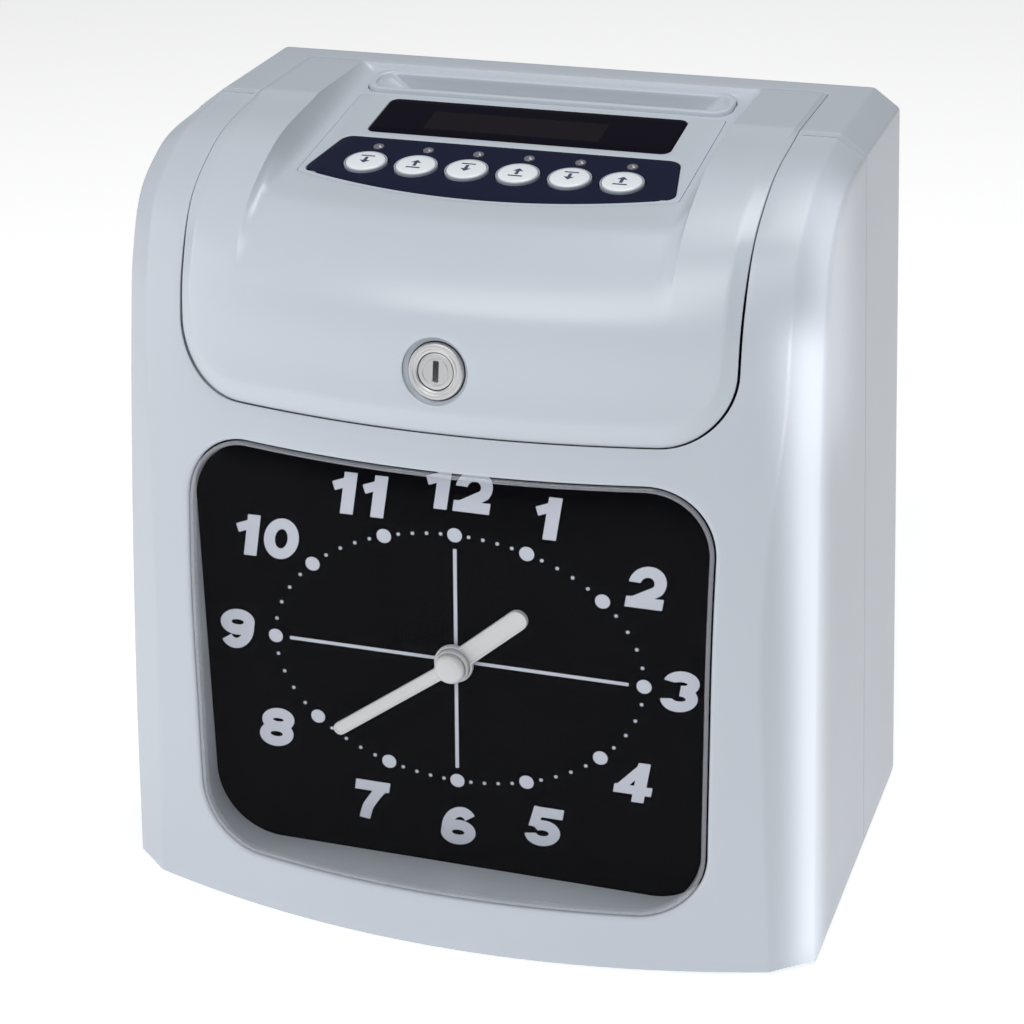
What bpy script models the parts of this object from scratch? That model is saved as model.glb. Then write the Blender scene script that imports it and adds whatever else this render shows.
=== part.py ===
"""Desk punch time clock with an analogue dial, a hinged upper cover and a card printer.

All sizes are in millimetres in the clock's own axes: X runs to the right, Y runs to the rear
with 0 at the back plane, and Z runs up with 0 at the underside of the case.  place() moves a
finished piece into the model frame, in metres, whose origin is the centre of the footprint
at the soles of the feet.
"""
import math

import bmesh
import bpy
from mathutils import Matrix, Vector

MM = 0.001
GAP = 0.3               # clearance between neighbouring pieces
WALL = 2.5              # case wall
FAR = 160.0             # well past the case in any direction, for the ends of cutters

# Turns that point a piece's local +Z along an axis of the clock
ALONG_X = (0, math.radians(90), 0)
ALONG_Y = (math.radians(-90), 0, 0)
FACING_FRONT = (math.radians(90), 0, 0)

# Case
CASE_DEPTH = 143.0      # back plane to the middle of the bowed front
FOOT_HEIGHT = 2.0
CASE_TOP = 230.2
SEAM_Y = -49.5          # joint between the rear housing and the front case
BASE_HALF_WIDTH = 109.0
SIDE_TAPER = 0.0307     # lean of each side wall, width lost per unit of height
SHOULDER_Z = 224.4      # lower edge of the chamfer along the top
BOW = 15.5              # how far the middle of the front stands out from its edges
BOW_FADE = 35.0         # height below the top over which the bow dies away

# Matching points up the front corner (x, y, z) and up the edge of the side wall (y, z)
FRONT_CORNER = [(97.2, -127.5, 0.0), (93.9, -126.4, 62.0), (92.2, -124.2, 112.0),
                (93.6, -118.6, 146.0), (95.2, -112.6, 172.0), (95.0, -108.6, 194.0),
                (94.6, -99.5, 213.5), (94.2, -84.0, 223.6), (94.3, SEAM_Y, CASE_TOP)]
SIDE_EDGE = [(-117.6, 0.0), (-115.2, 62.0), (-111.6, 112.0), (-108.4, 146.0),
             (-105.4, 172.0), (-101.6, 195.0), (-94.0, 212.0), (-82.0, 219.9),
             (SEAM_Y, SHOULDER_Z)]
ROWS_PER_SPAN = 2
ARC_COLUMNS = 6         # columns from the middle of the bowed front to its corner

# Feet and the fittings of the back wall
FOOT_RADIUS = 7.0
FOOT_X, FOOT_FRONT_Y, FOOT_REAR_Y = 84.0, -98.0, -18.0
KEYHOLE_X, KEYHOLE_Z, KEYHOLE_RADIUS = 80.0, 182.0, 5.0
KEYHOLE_SLOT, KEYHOLE_RISE = 2.6, 11.0      # half width of the slot, height of its end
INLET_X, INLET_Z, INLET_HALF_WIDTH, INLET_HALF_HEIGHT = 66.0, 20.0, 14.0, 9.0
INLET_DEPTH, INLET_WALL, INLET_SOCKET_DEPTH = 18.0, 3.0, 14.0
PIN_OFFSET, PIN_RADIUS, PIN_TIP_Y = 4.3, 1.2, -7.0
SCREW_X, SCREW_Z, SCREW_RADIUS, SCREW_LENGTH = 96.0, (14.0, 206.0), 1.5, 9.0

# Clock window and dial
WINDOW_HALF_WIDTH = 79.0
WINDOW_BOTTOM = 18.0
WINDOW_TOP = 150.2
WINDOW_RADIUS = 20.0
WINDOW_DROOP = 3.0      # fall of the recess floor towards the dial
WINDOW_FRAME = 2.0
LENS_THICKNESS, LENS_GAP = 2.0, 0.4
DIAL_FACE_Y = -119.2
DIAL_THICKNESS = 1.5
DIAL_MARGIN = 2.0       # overlap of the dial plate behind the window's edge
DIAL_Z = 84.4
DIAL_HOLE_RADIUS = 4.6
HOUR, MINUTE = 1, 39
HOUR_HAND = (29.2, 3.1, 5.9)        # length, half width, hub radius
MINUTE_HAND = (46.6, 2.0, 5.2)
HOUR_TUBE_RADIUS, HOUR_TUBE_BORE, ARBOR_RADIUS = 3.6, 2.0, 1.6
MOVEMENT_FRONT_Y = DIAL_FACE_Y + DIAL_THICKNESS + GAP
MOVEMENT_DEPTH, MOVEMENT_WALL = 18.6, 2.0
MOVEMENT_HALF_WIDTH, MOVEMENT_HALF_HEIGHT = 38.0, 27.0

# Upper cover
COVER_HALF_WIDTH = 82.3
COVER_BOTTOM = 161.3
COVER_RADIUS = 20.0
COVER_GAP = 0.4         # all round the cover
COVER_PROUD = 0.8
COVER_SKIN = 2.3
COVER_SKIRT = 8.8       # full depth of the rim that reaches into the case
COVER_RIM = 2.0
SCOOP_FLAT = 57.5       # half width of the sunken panel
SCOOP_CREST = 63.5      # half width where its side walls reach the cover's surface
SCOOP_BLEND = 2.0
PANEL_REAR_Y, PANEL_REAR_Z = -33.5, 225.9
PANEL_SLOPE = 0.151
PANEL_TILT = math.atan(PANEL_SLOPE)
PANEL_THICKNESS = 2.4

# Hinge at the rear of the cover
HINGE_Y, HINGE_Z = -5.0, CASE_TOP - 5.4
HINGE_PIN_RADIUS = 1.0
ARM_X, ARM_WIDTH, ARM_GAP = 68.0, 4.0, 0.4
RAIL_THICKNESS = 2.1

# Card path, a vertical chute under the slot
CARD_HALF_WIDTH = 44.5
CHUTE_REAR_Y, CHUTE_FRONT_Y = -18.0, -24.0
CHUTE_TOP, CHUTE_BOTTOM = 213.0, 112.0
GUIDE_THICKNESS = 1.0
FUNNEL_HALF_WIDTH, FUNNEL_REAR_Y, FUNNEL_FRONT_Y = 57.0, -15.4, -29.4
MOUTH_HALF_WIDTH, MOUTH_REAR_Y, MOUTH_FRONT_Y, MOUTH_RADIUS = 55.0, -17.0, -27.6, 4.5

# Keypad
BUTTON_COUNT = 6
BUTTON_PITCH = 15.4
BUTTON_RADIUS = 6.4
BUTTON_Y = -76.7
BUTTON_TOP = 1.0        # height of a button's rim above the panel
LED_Y, LED_RADIUS = -66.0, 1.55
DISPLAY_HALF_WIDTH = 46.2
DISPLAY_REAR_Y, DISPLAY_FRONT_Y = -33.5, -56.1
KEYPAD_REAR_Y, KEYPAD_SIDE_Y, KEYPAD_BOW = -60.2, -83.0, 10.0
KEYPAD_REAR_HALF, KEYPAD_FRONT_HALF = 50.9, 55.5

# Lock
LOCK_Y, LOCK_Z = -127.7, 178.5
LOCK_LEAN = math.radians(10.3)
LOCK_FLANGE, LOCK_BODY, PLUG_RADIUS = 8.4, 7.0, 5.2
LOCK_SEAT = 9.8                     # radius of the sunken ring around the barrel's flange
CAM_LENGTH, CAM_HALF_WIDTH = 19.0, 4.5

# Card printer
FRAME_HALF_WIDTH, FRAME_SHEET = 61.5, 1.5
FRAME_Z, FRAME_TOP, FRAME_FRONT_Y = 140.0, 206.0, -76.0
SHAFT_Y, SHAFT_Z, SHAFT_RADIUS = -44.0, 168.0, 3.0
BELT_Y, BELT_HALF_SPAN, BELT_RADIUS = -66.0, 48.0, 6.0
PULLEY_RADIUS, PULLEY_FLANGE, PULLEY_SHAFT = BELT_RADIUS - GAP, 7.0, 2.0
PULLEY_Z, FLANGE_THICKNESS, BELT_WIDTH = (160.0, 169.0), 1.0, 6.4
TAB_FRONT_Y = BELT_Y + BELT_RADIUS + 1.9     # front of the carriage's grip behind the belt
CARTRIDGE_Z = (184.0, 199.6)
ROLLER_Z = 150.0
FEED_Y, FEED_RADIUS, FEED_SHAFT = -13.6, 7.0, 2.5
PINCH_Y, PINCH_RADIUS, PINCH_SHAFT = -27.5, 6.3, 2.0
TYRE_INNER, TYRE_OUTER = 18.0, 34.0
FEED_MODULE, FEED_TEETH, FEED_PINION_TEETH = 0.6, 30, 12
FEED_CENTRES = FEED_MODULE * (FEED_TEETH + FEED_PINION_TEETH) / 2

# Motion work of the clock: cannon pinion, minute wheel and pinion, hour wheel
CANNON_TEETH, MINUTE_TEETH, MINUTE_PINION_TEETH, HOUR_TEETH = 12, 36, 10, 40
WORK_CENTRES = 19.2
CANNON_MODULE = 2 * WORK_CENTRES / (CANNON_TEETH + MINUTE_TEETH)
HOUR_MODULE = 2 * WORK_CENTRES / (MINUTE_PINION_TEETH + HOUR_TEETH)

COLOURS = {
    "case_plastic": ((0.60, 0.66, 0.73), 0.35, 0.0),
    "cover_plastic": ((0.62, 0.69, 0.75), 0.30, 0.0),
    "clear_plastic": ((0.90, 0.93, 0.95), 0.08, 0.0),
    "dial_black": ((0.010, 0.010, 0.014), 0.45, 0.0),
    "window_black": ((0.012, 0.011, 0.020), 0.15, 0.0),
    "keypad_navy": ((0.018, 0.026, 0.060), 0.40, 0.0),
    "hand_white": ((0.80, 0.80, 0.82), 0.35, 0.0),
    "button_white": ((0.78, 0.82, 0.86), 0.35, 0.0),
    "black_plastic": ((0.025, 0.025, 0.028), 0.50, 0.0),
    "nylon": ((0.72, 0.71, 0.66), 0.45, 0.0),
    "rubber": ((0.03, 0.03, 0.03), 0.85, 0.0),
    "steel": ((0.55, 0.56, 0.58), 0.30, 1.0),
    "zinc_sheet": ((0.60, 0.61, 0.62), 0.42, 1.0),
    "chrome": ((0.72, 0.73, 0.74), 0.15, 1.0),
    "brass": ((0.72, 0.55, 0.25), 0.30, 1.0),
    "circuit_green": ((0.02, 0.16, 0.07), 0.50, 0.0),
    "transformer_iron": ((0.18, 0.18, 0.20), 0.55, 0.6),
    "ribbon_ink": ((0.05, 0.02, 0.08), 0.80, 0.0),
}


def clear_scene():
    for obj in list(bpy.data.objects):
        bpy.data.objects.remove(obj, do_unlink=True)


def material(name):
    if name in bpy.data.materials:
        return bpy.data.materials[name]
    colour, roughness, metallic = COLOURS[name]
    mat = bpy.data.materials.new(name)
    mat.use_nodes = True
    shader = mat.node_tree.nodes["Principled BSDF"]
    shader.inputs["Base Color"].default_value = (*colour, 1.0)
    shader.inputs["Roughness"].default_value = roughness
    shader.inputs["Metallic"].default_value = metallic
    return mat


def place(x, y, z):
    """Turn a point of the clock's own axes into model metres."""
    return Vector((x, y + CASE_DEPTH / 2, z + FOOT_HEIGHT)) * MM


def make(name, bm, mat=None, origin=(0, 0, 0), turn=None, smooth=False):
    """Make an object whose mesh is given about origin, turned by an optional rotation."""
    bmesh.ops.remove_doubles(bm, verts=bm.verts, dist=0.001)
    bmesh.ops.recalc_face_normals(bm, faces=bm.faces)
    bmesh.ops.scale(bm, vec=(MM, MM, MM), verts=bm.verts)
    mesh = bpy.data.meshes.new(name)
    bm.to_mesh(mesh)
    bm.free()
    obj = bpy.data.objects.new(name, mesh)
    bpy.context.scene.collection.objects.link(obj)
    obj.location = place(*origin)
    if turn:
        obj.rotation_euler = turn
    if mat:
        mesh.materials.append(material(mat))
    if smooth:
        mesh.shade_smooth()
        mesh.set_sharp_from_angle(angle=math.radians(35))
    return obj


def guide(name, bm, origin=(0, 0, 0), turn=None):
    """A hidden solid that only shapes other pieces."""
    obj = make(name, bm, origin=origin, turn=turn)
    obj.hide_render = True
    obj.display_type = "WIRE"
    return obj


def combine(obj, operation, *tools):
    for tool in tools:
        modifier = obj.modifiers.new(tool.name, "BOOLEAN")
        modifier.operation = operation
        modifier.solver = "EXACT"
        modifier.object = tool
    return obj


def cut(obj, *tools):
    return combine(obj, "DIFFERENCE", *tools)


def join(obj, *tools):
    return combine(obj, "UNION", *tools)


def trim(obj, *tools):
    return combine(obj, "INTERSECT", *tools)


def level(value):
    return value if callable(value) else lambda _: value


def prism(outline, axis, low, high):
    """Extrude an outline along an axis.

    The outline is (x, y) for axis Z, (x, z) for axis Y and (y, z) for axis X.  low and high
    are coordinates on the axis, or functions of the outline's second coordinate.
    """
    make_point = {"Z": lambda a, b, c: (a, b, c), "Y": lambda a, b, c: (a, c, b),
                  "X": lambda a, b, c: (c, a, b)}[axis]
    low, high = level(low), level(high)
    bm = bmesh.new()
    ends = []
    for end in (low, high):
        ends.append([bm.verts.new(make_point(a, b, end(b))) for a, b in outline])
    count = len(outline)
    bm.faces.new(ends[0])
    bm.faces.new(ends[1])
    for i in range(count):
        j = (i + 1) % count
        bm.faces.new((ends[0][i], ends[0][j], ends[1][j], ends[1][i]))
    return bm


def box(x, y, z):
    """A block from three (low, high) pairs."""
    outline = [(x[0], y[0]), (x[1], y[0]), (x[1], y[1]), (x[0], y[1])]
    return prism(outline, "Z", z[0], z[1])


def arc(centre, radius, start, end, steps):
    """Points on an arc, with angles in degrees."""
    points = []
    for i in range(steps + 1):
        angle = math.radians(start + (end - start) * i / steps)
        points.append((centre[0] + radius * math.cos(angle),
                       centre[1] + radius * math.sin(angle)))
    return points


def rounded_rectangle(low, high, radii, steps=6):
    """Outline from its lower left corner, anticlockwise, with one radius for each corner."""
    corners = [(low[0], low[1], 180, 1, 1), (high[0], low[1], 270, -1, 1),
               (high[0], high[1], 0, -1, -1), (low[0], high[1], 90, 1, -1)]
    points = []
    for (x, y, start, side_x, side_y), radius in zip(corners, radii):
        if radius == 0:
            points.append((x, y))
            continue
        centre = (x + side_x * radius, y + side_y * radius)
        points += arc(centre, radius, start, start + 90, steps)
    return points


def lathe(profile, segments=24, closed=False):
    """Turn (radius, height) points about Z.  An open profile starts and ends on the axis."""
    bm = bmesh.new()
    rings = []
    for radius, height in profile:
        if radius == 0:
            rings.append([bm.verts.new((0, 0, height))])
            continue
        ring = []
        for i in range(segments):
            angle = 2 * math.pi * i / segments
            ring.append(bm.verts.new((radius * math.cos(angle), radius * math.sin(angle),
                                      height)))
        rings.append(ring)
    pairs = list(zip(rings, rings[1:]))
    if closed:
        pairs.append((rings[-1], rings[0]))
    for lower, upper in pairs:
        for i in range(segments):
            j = (i + 1) % segments
            if len(lower) == 1:
                bm.faces.new((lower[0], upper[i], upper[j]))
            elif len(upper) == 1:
                bm.faces.new((lower[i], lower[j], upper[0]))
            else:
                bm.faces.new((lower[i], lower[j], upper[j], upper[i]))
    return bm


def rod(radius, low, high, segments=24):
    return lathe([(0, low), (radius, low), (radius, high), (0, high)], segments)


def gear_outline(teeth, module, phase):
    """Straight-sided teeth with backlash; phase is the angle of one tooth's middle."""
    pitch_radius = teeth * module / 2
    pitch = 2 * math.pi / teeth
    tip = pitch_radius + 0.75 * module
    root = pitch_radius - 1.05 * module
    points = []
    for i in range(teeth):
        middle = phase + i * pitch
        for radius, offset in ((root, -0.27), (tip, -0.11), (tip, 0.11), (root, 0.27)):
            angle = middle + offset * pitch
            points.append((radius * math.cos(angle), radius * math.sin(angle)))
    return points


def gear(teeth, module, phase, low, high):
    return prism(gear_outline(teeth, module, phase), "Z", low, high)


# ---------------------------------------------------------------- the case's outer surface

def smooth_curve(points, steps):
    """Points along a cubic curve through the given points, steps to each span."""
    knots = [Vector(p) for p in points]
    lengths = [(b - a).length for a, b in zip(knots, knots[1:])]
    slopes = []
    for i in range(len(knots)):
        if i == 0:
            slopes.append((knots[1] - knots[0]) / lengths[0])
        elif i == len(knots) - 1:
            slopes.append((knots[-1] - knots[-2]) / lengths[-1])
        else:
            before = (knots[i] - knots[i - 1]) / lengths[i - 1]
            after = (knots[i + 1] - knots[i]) / lengths[i]
            total = lengths[i - 1] + lengths[i]
            slopes.append((before * lengths[i] + after * lengths[i - 1]) / total)
    curve = []
    for i, length in enumerate(lengths):
        for k in range(steps):
            t = k / steps
            curve.append(knots[i] * (2 * t**3 - 3 * t**2 + 1)
                         + slopes[i] * length * (t**3 - 2 * t**2 + t)
                         + knots[i + 1] * (3 * t**2 - 2 * t**3)
                         + slopes[i + 1] * length * (t**3 - t**2))
    curve.append(knots[-1])
    return curve


CORNER_CURVE = smooth_curve(FRONT_CORNER, ROWS_PER_SPAN)
SIDE_CURVE = smooth_curve([(*p, 0.0) for p in SIDE_EDGE], ROWS_PER_SPAN)


def side_x(z):
    return BASE_HALF_WIDTH - SIDE_TAPER * z


def bow(x, row):
    """Forward reach of the front at x, over the corner of the same row."""
    corner = CORNER_CURVE[row]
    strength = min(1.0, max(0.0, (CASE_TOP - corner.z) / BOW_FADE)) ** 0.6
    return BOW * (1 - (x / corner.x) ** 2) * strength


def offset_line(points, distance):
    """Move a (y, z) line that climbs the front and runs to the rear outwards by distance."""
    moved = []
    for i, point in enumerate(points):
        before = Vector(points[max(i - 1, 0)])
        after = Vector(points[min(i + 1, len(points) - 1)])
        along = (after - before).normalized()
        moved.append((point[0] - along.y * distance, point[1] + along.x * distance))
    return moved


def front_line(x, distance=0.0):
    """The front's (y, z) line at x, from the underside to the seam."""
    line = []
    for row, corner in enumerate(CORNER_CURVE):
        line.append((corner.y - bow(x, row), corner.z))
    return offset_line(line, distance)


def front_case_solid(inset, seam_y):
    """The closed outer solid of the front case, or its cavity when inset is not zero."""
    rows = len(CORNER_CURVE)
    shares = [i / ARC_COLUMNS for i in range(-ARC_COLUMNS, ARC_COLUMNS + 1)]
    lines = []
    for share in shares:
        line = [(CORNER_CURVE[row].y - bow(share * CORNER_CURVE[row].x, row),
                 CORNER_CURVE[row].z) for row in range(rows)]
        lines.append(offset_line(line, -inset))
    side = offset_line([(p.x, p.y) for p in SIDE_CURVE], -inset)
    bm = bmesh.new()
    grid = []
    for row in range(rows):
        corner_x = CORNER_CURVE[row].x - 0.45 * inset
        columns = []
        for share, line in zip(shares, lines):
            y, z = line[row]
            columns.append((share * corner_x, min(y, seam_y), z))
        y, z = side[row]
        x = side_x(z) - inset
        y = min(y, seam_y)
        columns = [(-x, seam_y, z), (-x, y, z)] + columns + [(x, y, z), (x, seam_y, z)]
        if row == 0:
            columns = [(cx, cy, inset) for cx, cy, _ in columns]
        if row == rows - 1:
            columns = [(cx, seam_y, cz) for cx, _, cz in columns]
        grid.append([bm.verts.new(c) for c in columns])
    for lower, upper in zip(grid, grid[1:]):
        for i in range(len(lower) - 1):
            bm.faces.new((lower[i], lower[i + 1], upper[i + 1], upper[i]))
    bm.faces.new(grid[0])
    rear = [row[0] for row in grid] + grid[-1][1:-1] + [row[-1] for row in reversed(grid)]
    bm.faces.new(rear)
    return bm


def window_outline(grow):
    return rounded_rectangle((-WINDOW_HALF_WIDTH - grow, WINDOW_BOTTOM - grow),
                             (WINDOW_HALF_WIDTH + grow, WINDOW_TOP + grow),
                             [WINDOW_RADIUS + grow] * 4)


def window_prism(grow, front_y, rear_y):
    """The clock window as a solid whose floor falls towards the rear."""
    outline = window_outline(grow)
    bm = bmesh.new()
    ends = []
    for y, droop in ((front_y, 0.0), (rear_y, WINDOW_DROOP)):
        ring = []
        for x, z in outline:
            share = max(0.0, (DIAL_Z - z) / (DIAL_Z - WINDOW_BOTTOM))
            ring.append(bm.verts.new((x, y, z - droop * share)))
        ends.append(ring)
    count = len(outline)
    bm.faces.new(ends[0])
    bm.faces.new(ends[1])
    for i in range(count):
        j = (i + 1) % count
        bm.faces.new((ends[0][i], ends[0][j], ends[1][j], ends[1][i]))
    return bm


def cover_outline(grow):
    low = (-COVER_HALF_WIDTH - grow, COVER_BOTTOM - grow)
    high = (COVER_HALF_WIDTH + grow, CASE_TOP + 30)
    return rounded_rectangle(low, high, [COVER_RADIUS + grow, COVER_RADIUS + grow, 0, 0])


def cover_rear(z):
    """Slanted rear face of the cover, which swings clear of the case as the cover opens."""
    return HINGE_Y - 8.8 + 2.6 * (z - HINGE_Z) / 6.6


def cover_inner_rear(z):
    return cover_rear(z) - COVER_RIM


def opening_rear(z):
    """Slanted front edge of the strip of case behind the cover."""
    return HINGE_Y - 7.2 + 0.56 * (z - CASE_TOP + WALL)


def cover_opening():
    return guide("cover_opening", prism(cover_outline(COVER_GAP), "Y", -FAR, opening_rear))


def build_front_case():
    case = make("front_case", front_case_solid(0.0, SEAM_Y - 0.15), "case_plastic", smooth=True)
    cavity = guide("front_cavity", front_case_solid(WALL, SEAM_Y + 2))
    tunnel = guide("window_frame_block",
                   window_prism(LENS_GAP + WINDOW_FRAME, -FAR, DIAL_FACE_Y - GAP))
    cut(cavity, tunnel)
    window = guide("window_cut", window_prism(LENS_GAP, -FAR - 5, DIAL_FACE_Y + 4))
    return cut(case, cavity, window, bpy.data.objects["cover_opening"])


def housing_outline(inset):
    corner = FRONT_CORNER[-1][0]
    return [(-side_x(0) + inset, inset), (side_x(0) - inset, inset),
            (side_x(SHOULDER_Z) - inset, SHOULDER_Z - 0.35 * inset),
            (corner - 0.45 * inset, CASE_TOP - inset),
            (-corner + 0.45 * inset, CASE_TOP - inset),
            (-side_x(SHOULDER_Z) + inset, SHOULDER_Z - 0.35 * inset)]


def keyhole_cutter(side):
    outline = arc((side * KEYHOLE_X, KEYHOLE_Z), KEYHOLE_RADIUS, -240, 60, 14)
    rise = arc((side * KEYHOLE_X, KEYHOLE_Z + KEYHOLE_RISE), KEYHOLE_SLOT, 0, 180, 6)
    return prism(outline + rise, "Y", -2 * WALL, WALL)


def inlet_sides(grow):
    """The inlet's (low, high) in X and in Z."""
    half_width, half_height = INLET_HALF_WIDTH + grow, INLET_HALF_HEIGHT + grow
    return ((INLET_X - half_width, INLET_X + half_width),
            (INLET_Z - half_height, INLET_Z + half_height))


def build_rear_housing():
    outer = prism(housing_outline(0.0), "Y", SEAM_Y + 0.15, 0)
    housing = make("rear_housing", outer, "case_plastic")
    cavity = guide("rear_cavity", prism(housing_outline(WALL), "Y", SEAM_Y - 2, -WALL))
    x, z = inlet_sides(GAP)
    inlet = guide("inlet_cut", box(x, (-2 * WALL, WALL), z))
    keyholes = [guide(f"keyhole_cut_{side}", keyhole_cutter(side)) for side in (-1, 1)]
    holes = []
    for side in (-1, 1):
        for z in SCREW_Z:
            holes.append(guide(f"screw_cut_{side}_{z:.0f}",
                               rod(SCREW_RADIUS + GAP, -2 * WALL, WALL, 12),
                               (side * SCREW_X, 0, z), ALONG_Y))
    return cut(housing, cavity, bpy.data.objects["cover_opening"], inlet, *keyholes, *holes)


def build_feet():
    profile = [(0, 0), (FOOT_RADIUS - 1, 0), (FOOT_RADIUS, 1),
               (FOOT_RADIUS, FOOT_HEIGHT - GAP), (0, FOOT_HEIGHT - GAP)]
    for front, y in (("front", FOOT_FRONT_Y), ("rear", FOOT_REAR_Y)):
        for side, x in (("left", -FOOT_X), ("right", FOOT_X)):
            make(f"foot_{front}_{side}", lathe(profile, 20), "rubber",
                 (x, y, -FOOT_HEIGHT), smooth=True)


def build_screws():
    """Four screws through the back wall, their ends just below its surface."""
    number = 0
    for side in (-1, 1):
        for z in SCREW_Z:
            number += 1
            make(f"case_screw_{number}", rod(SCREW_RADIUS, -SCREW_LENGTH, -GAP, 12), "steel",
                 (side * SCREW_X, 0, z), ALONG_Y, smooth=True)


def build_inlet():
    """Two-pin mains inlet, flush with the back plane."""
    x, z = inlet_sides(0.0)
    inlet = make("power_inlet", box(x, (-INLET_DEPTH, -0.05), z), "black_plastic")
    x, z = inlet_sides(-INLET_WALL)
    socket = guide("inlet_socket", box(x, (-INLET_SOCKET_DEPTH, WALL), z))
    pins = []
    for offset in (-PIN_OFFSET, PIN_OFFSET):
        pins.append(guide(f"inlet_pin_{offset:.0f}",
                          rod(PIN_RADIUS, -INLET_SOCKET_DEPTH - 1, PIN_TIP_Y, 10),
                          (INLET_X + offset, 0, INLET_Z), ALONG_Y))
    cut(inlet, socket)
    return join(inlet, *pins)


# ---------------------------------------------------------------- clock

def skin(xs, outer, inner, rear_y=None, scoop=False):
    """A sheet that follows the front of the case between two offsets from its surface."""
    bm = bmesh.new()
    sheets = []
    for distance in (outer, inner):
        columns = []
        for x in xs:
            line = front_line(x)
            if rear_y is not None:
                steps = 5
                for i in range(1, steps + 1):
                    line.append((SEAM_Y + (rear_y - SEAM_Y) * i / steps, CASE_TOP))
            line = offset_line(line, distance)
            if scoop:
                line = [(y, z - scoop_depth(x, y, z - distance)) for y, z in line]
            columns.append([bm.verts.new((x, y, z)) for y, z in line])
        sheets.append(columns)
    rows, count = len(sheets[0][0]), len(xs)
    for columns in sheets:
        for i in range(count - 1):
            for k in range(rows - 1):
                bm.faces.new((columns[i][k], columns[i + 1][k], columns[i + 1][k + 1],
                              columns[i][k + 1]))
    front, back = sheets
    for k in range(rows - 1):
        for i in (0, count - 1):
            bm.faces.new((front[i][k], front[i][k + 1], back[i][k + 1], back[i][k]))
    for i in range(count - 1):
        for k in (0, rows - 1):
            bm.faces.new((front[i][k], front[i + 1][k], back[i + 1][k], back[i][k]))
    return bm


def mirrored(stations):
    """Stations on both sides of the middle, from a list that starts at 0."""
    return [-x for x in reversed(stations[1:])] + stations


def panel_z(y):
    return PANEL_REAR_Z + PANEL_SLOPE * (y - PANEL_REAR_Y)


def scoop_depth(x, y, z):
    """How far the cover's surface at (y, z) drops to the sunken panel, blended at the front."""
    height = (z - panel_z(y)) / SCOOP_BLEND
    drop = SCOOP_BLEND * math.log(1 + math.exp(min(height, 30)))
    side = min(1.0, max(0.0, (SCOOP_CREST - abs(x)) / (SCOOP_CREST - SCOOP_FLAT)))
    return drop * side * side * (3 - 2 * side)


def build_lens():
    xs = mirrored([0, 20, 40, 60, 84])
    lens = make("clock_lens", skin(xs, 0.0, -LENS_THICKNESS), "clear_plastic", smooth=True)
    return trim(lens, guide("lens_outline", prism(window_outline(0.0), "Y", -FAR, DIAL_FACE_Y)))


def build_dial():
    low = (-WINDOW_HALF_WIDTH - DIAL_MARGIN, WINDOW_BOTTOM - WINDOW_DROOP - DIAL_MARGIN)
    high = (WINDOW_HALF_WIDTH + DIAL_MARGIN, WINDOW_TOP + DIAL_MARGIN)
    outline = rounded_rectangle(low, high, [WINDOW_RADIUS + DIAL_MARGIN] * 4, 4)
    dial = make("dial_plate", prism(outline, "Y", DIAL_FACE_Y, DIAL_FACE_Y + DIAL_THICKNESS),
                "dial_black")
    return cut(dial, guide("dial_hole", rod(DIAL_HOLE_RADIUS, -5, 5, 20),
                           (0, DIAL_FACE_Y, DIAL_Z), ALONG_Y))


def build_movement():
    x = (-MOVEMENT_HALF_WIDTH, MOVEMENT_HALF_WIDTH)
    z = (DIAL_Z - MOVEMENT_HALF_HEIGHT, DIAL_Z + MOVEMENT_HALF_HEIGHT)
    case = make("movement_case", box(x, (MOVEMENT_FRONT_Y, MOVEMENT_FRONT_Y + MOVEMENT_DEPTH), z),
                "black_plastic")
    room = guide("movement_room", box((x[0] + MOVEMENT_WALL, x[1] - MOVEMENT_WALL),
                                      (MOVEMENT_FRONT_Y + MOVEMENT_WALL, 0),
                                      (z[0] + MOVEMENT_WALL, z[1] - MOVEMENT_WALL)))
    hole = guide("movement_hole", rod(DIAL_HOLE_RADIUS, -5, 5, 20),
                 (0, MOVEMENT_FRONT_Y, DIAL_Z), ALONG_Y)
    return cut(case, room, hole)


def build_motion_work():
    """Gears that carry the minute arbor's turn to the hour tube, one twelfth as fast.

    Each is modelled about its own axis, local +Z to the rear, at depths from the front of the
    movement: the hour wheel in front, the cannon pinion and the minute wheel behind it.
    """
    centre = (0, MOVEMENT_FRONT_Y, DIAL_Z)
    beside = (WORK_CENTRES, MOVEMENT_FRONT_Y, DIAL_Z)
    cannon = make("cannon_pinion", gear(CANNON_TEETH, CANNON_MODULE, 0, 7.1, 9.6), "brass",
                  centre, ALONG_Y)
    join(cannon, guide("minute_arbor", rod(ARBOR_RADIUS, -6.6, 8.6, 16), centre, ALONG_Y))
    hour = make("hour_wheel", gear(HOUR_TEETH, HOUR_MODULE, 0, 2.8, 4.6), "brass", centre, ALONG_Y)
    join(hour, guide("hour_tube", rod(HOUR_TUBE_RADIUS, -4.7, 3.6, 20), centre, ALONG_Y))
    cut(hour, guide("hour_bore", rod(HOUR_TUBE_BORE, -20, 20, 16), centre, ALONG_Y))
    wheel_phase = math.pi + math.pi / MINUTE_TEETH
    pinion_phase = math.pi + math.pi / MINUTE_PINION_TEETH
    wheel = make("minute_wheel", gear(MINUTE_TEETH, CANNON_MODULE, wheel_phase, 7.2, 9.5), "brass",
                 beside, ALONG_Y)
    join(wheel, guide("minute_pinion", gear(MINUTE_PINION_TEETH, HOUR_MODULE, pinion_phase,
                                            2.9, 7.6), beside, ALONG_Y))


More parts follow.
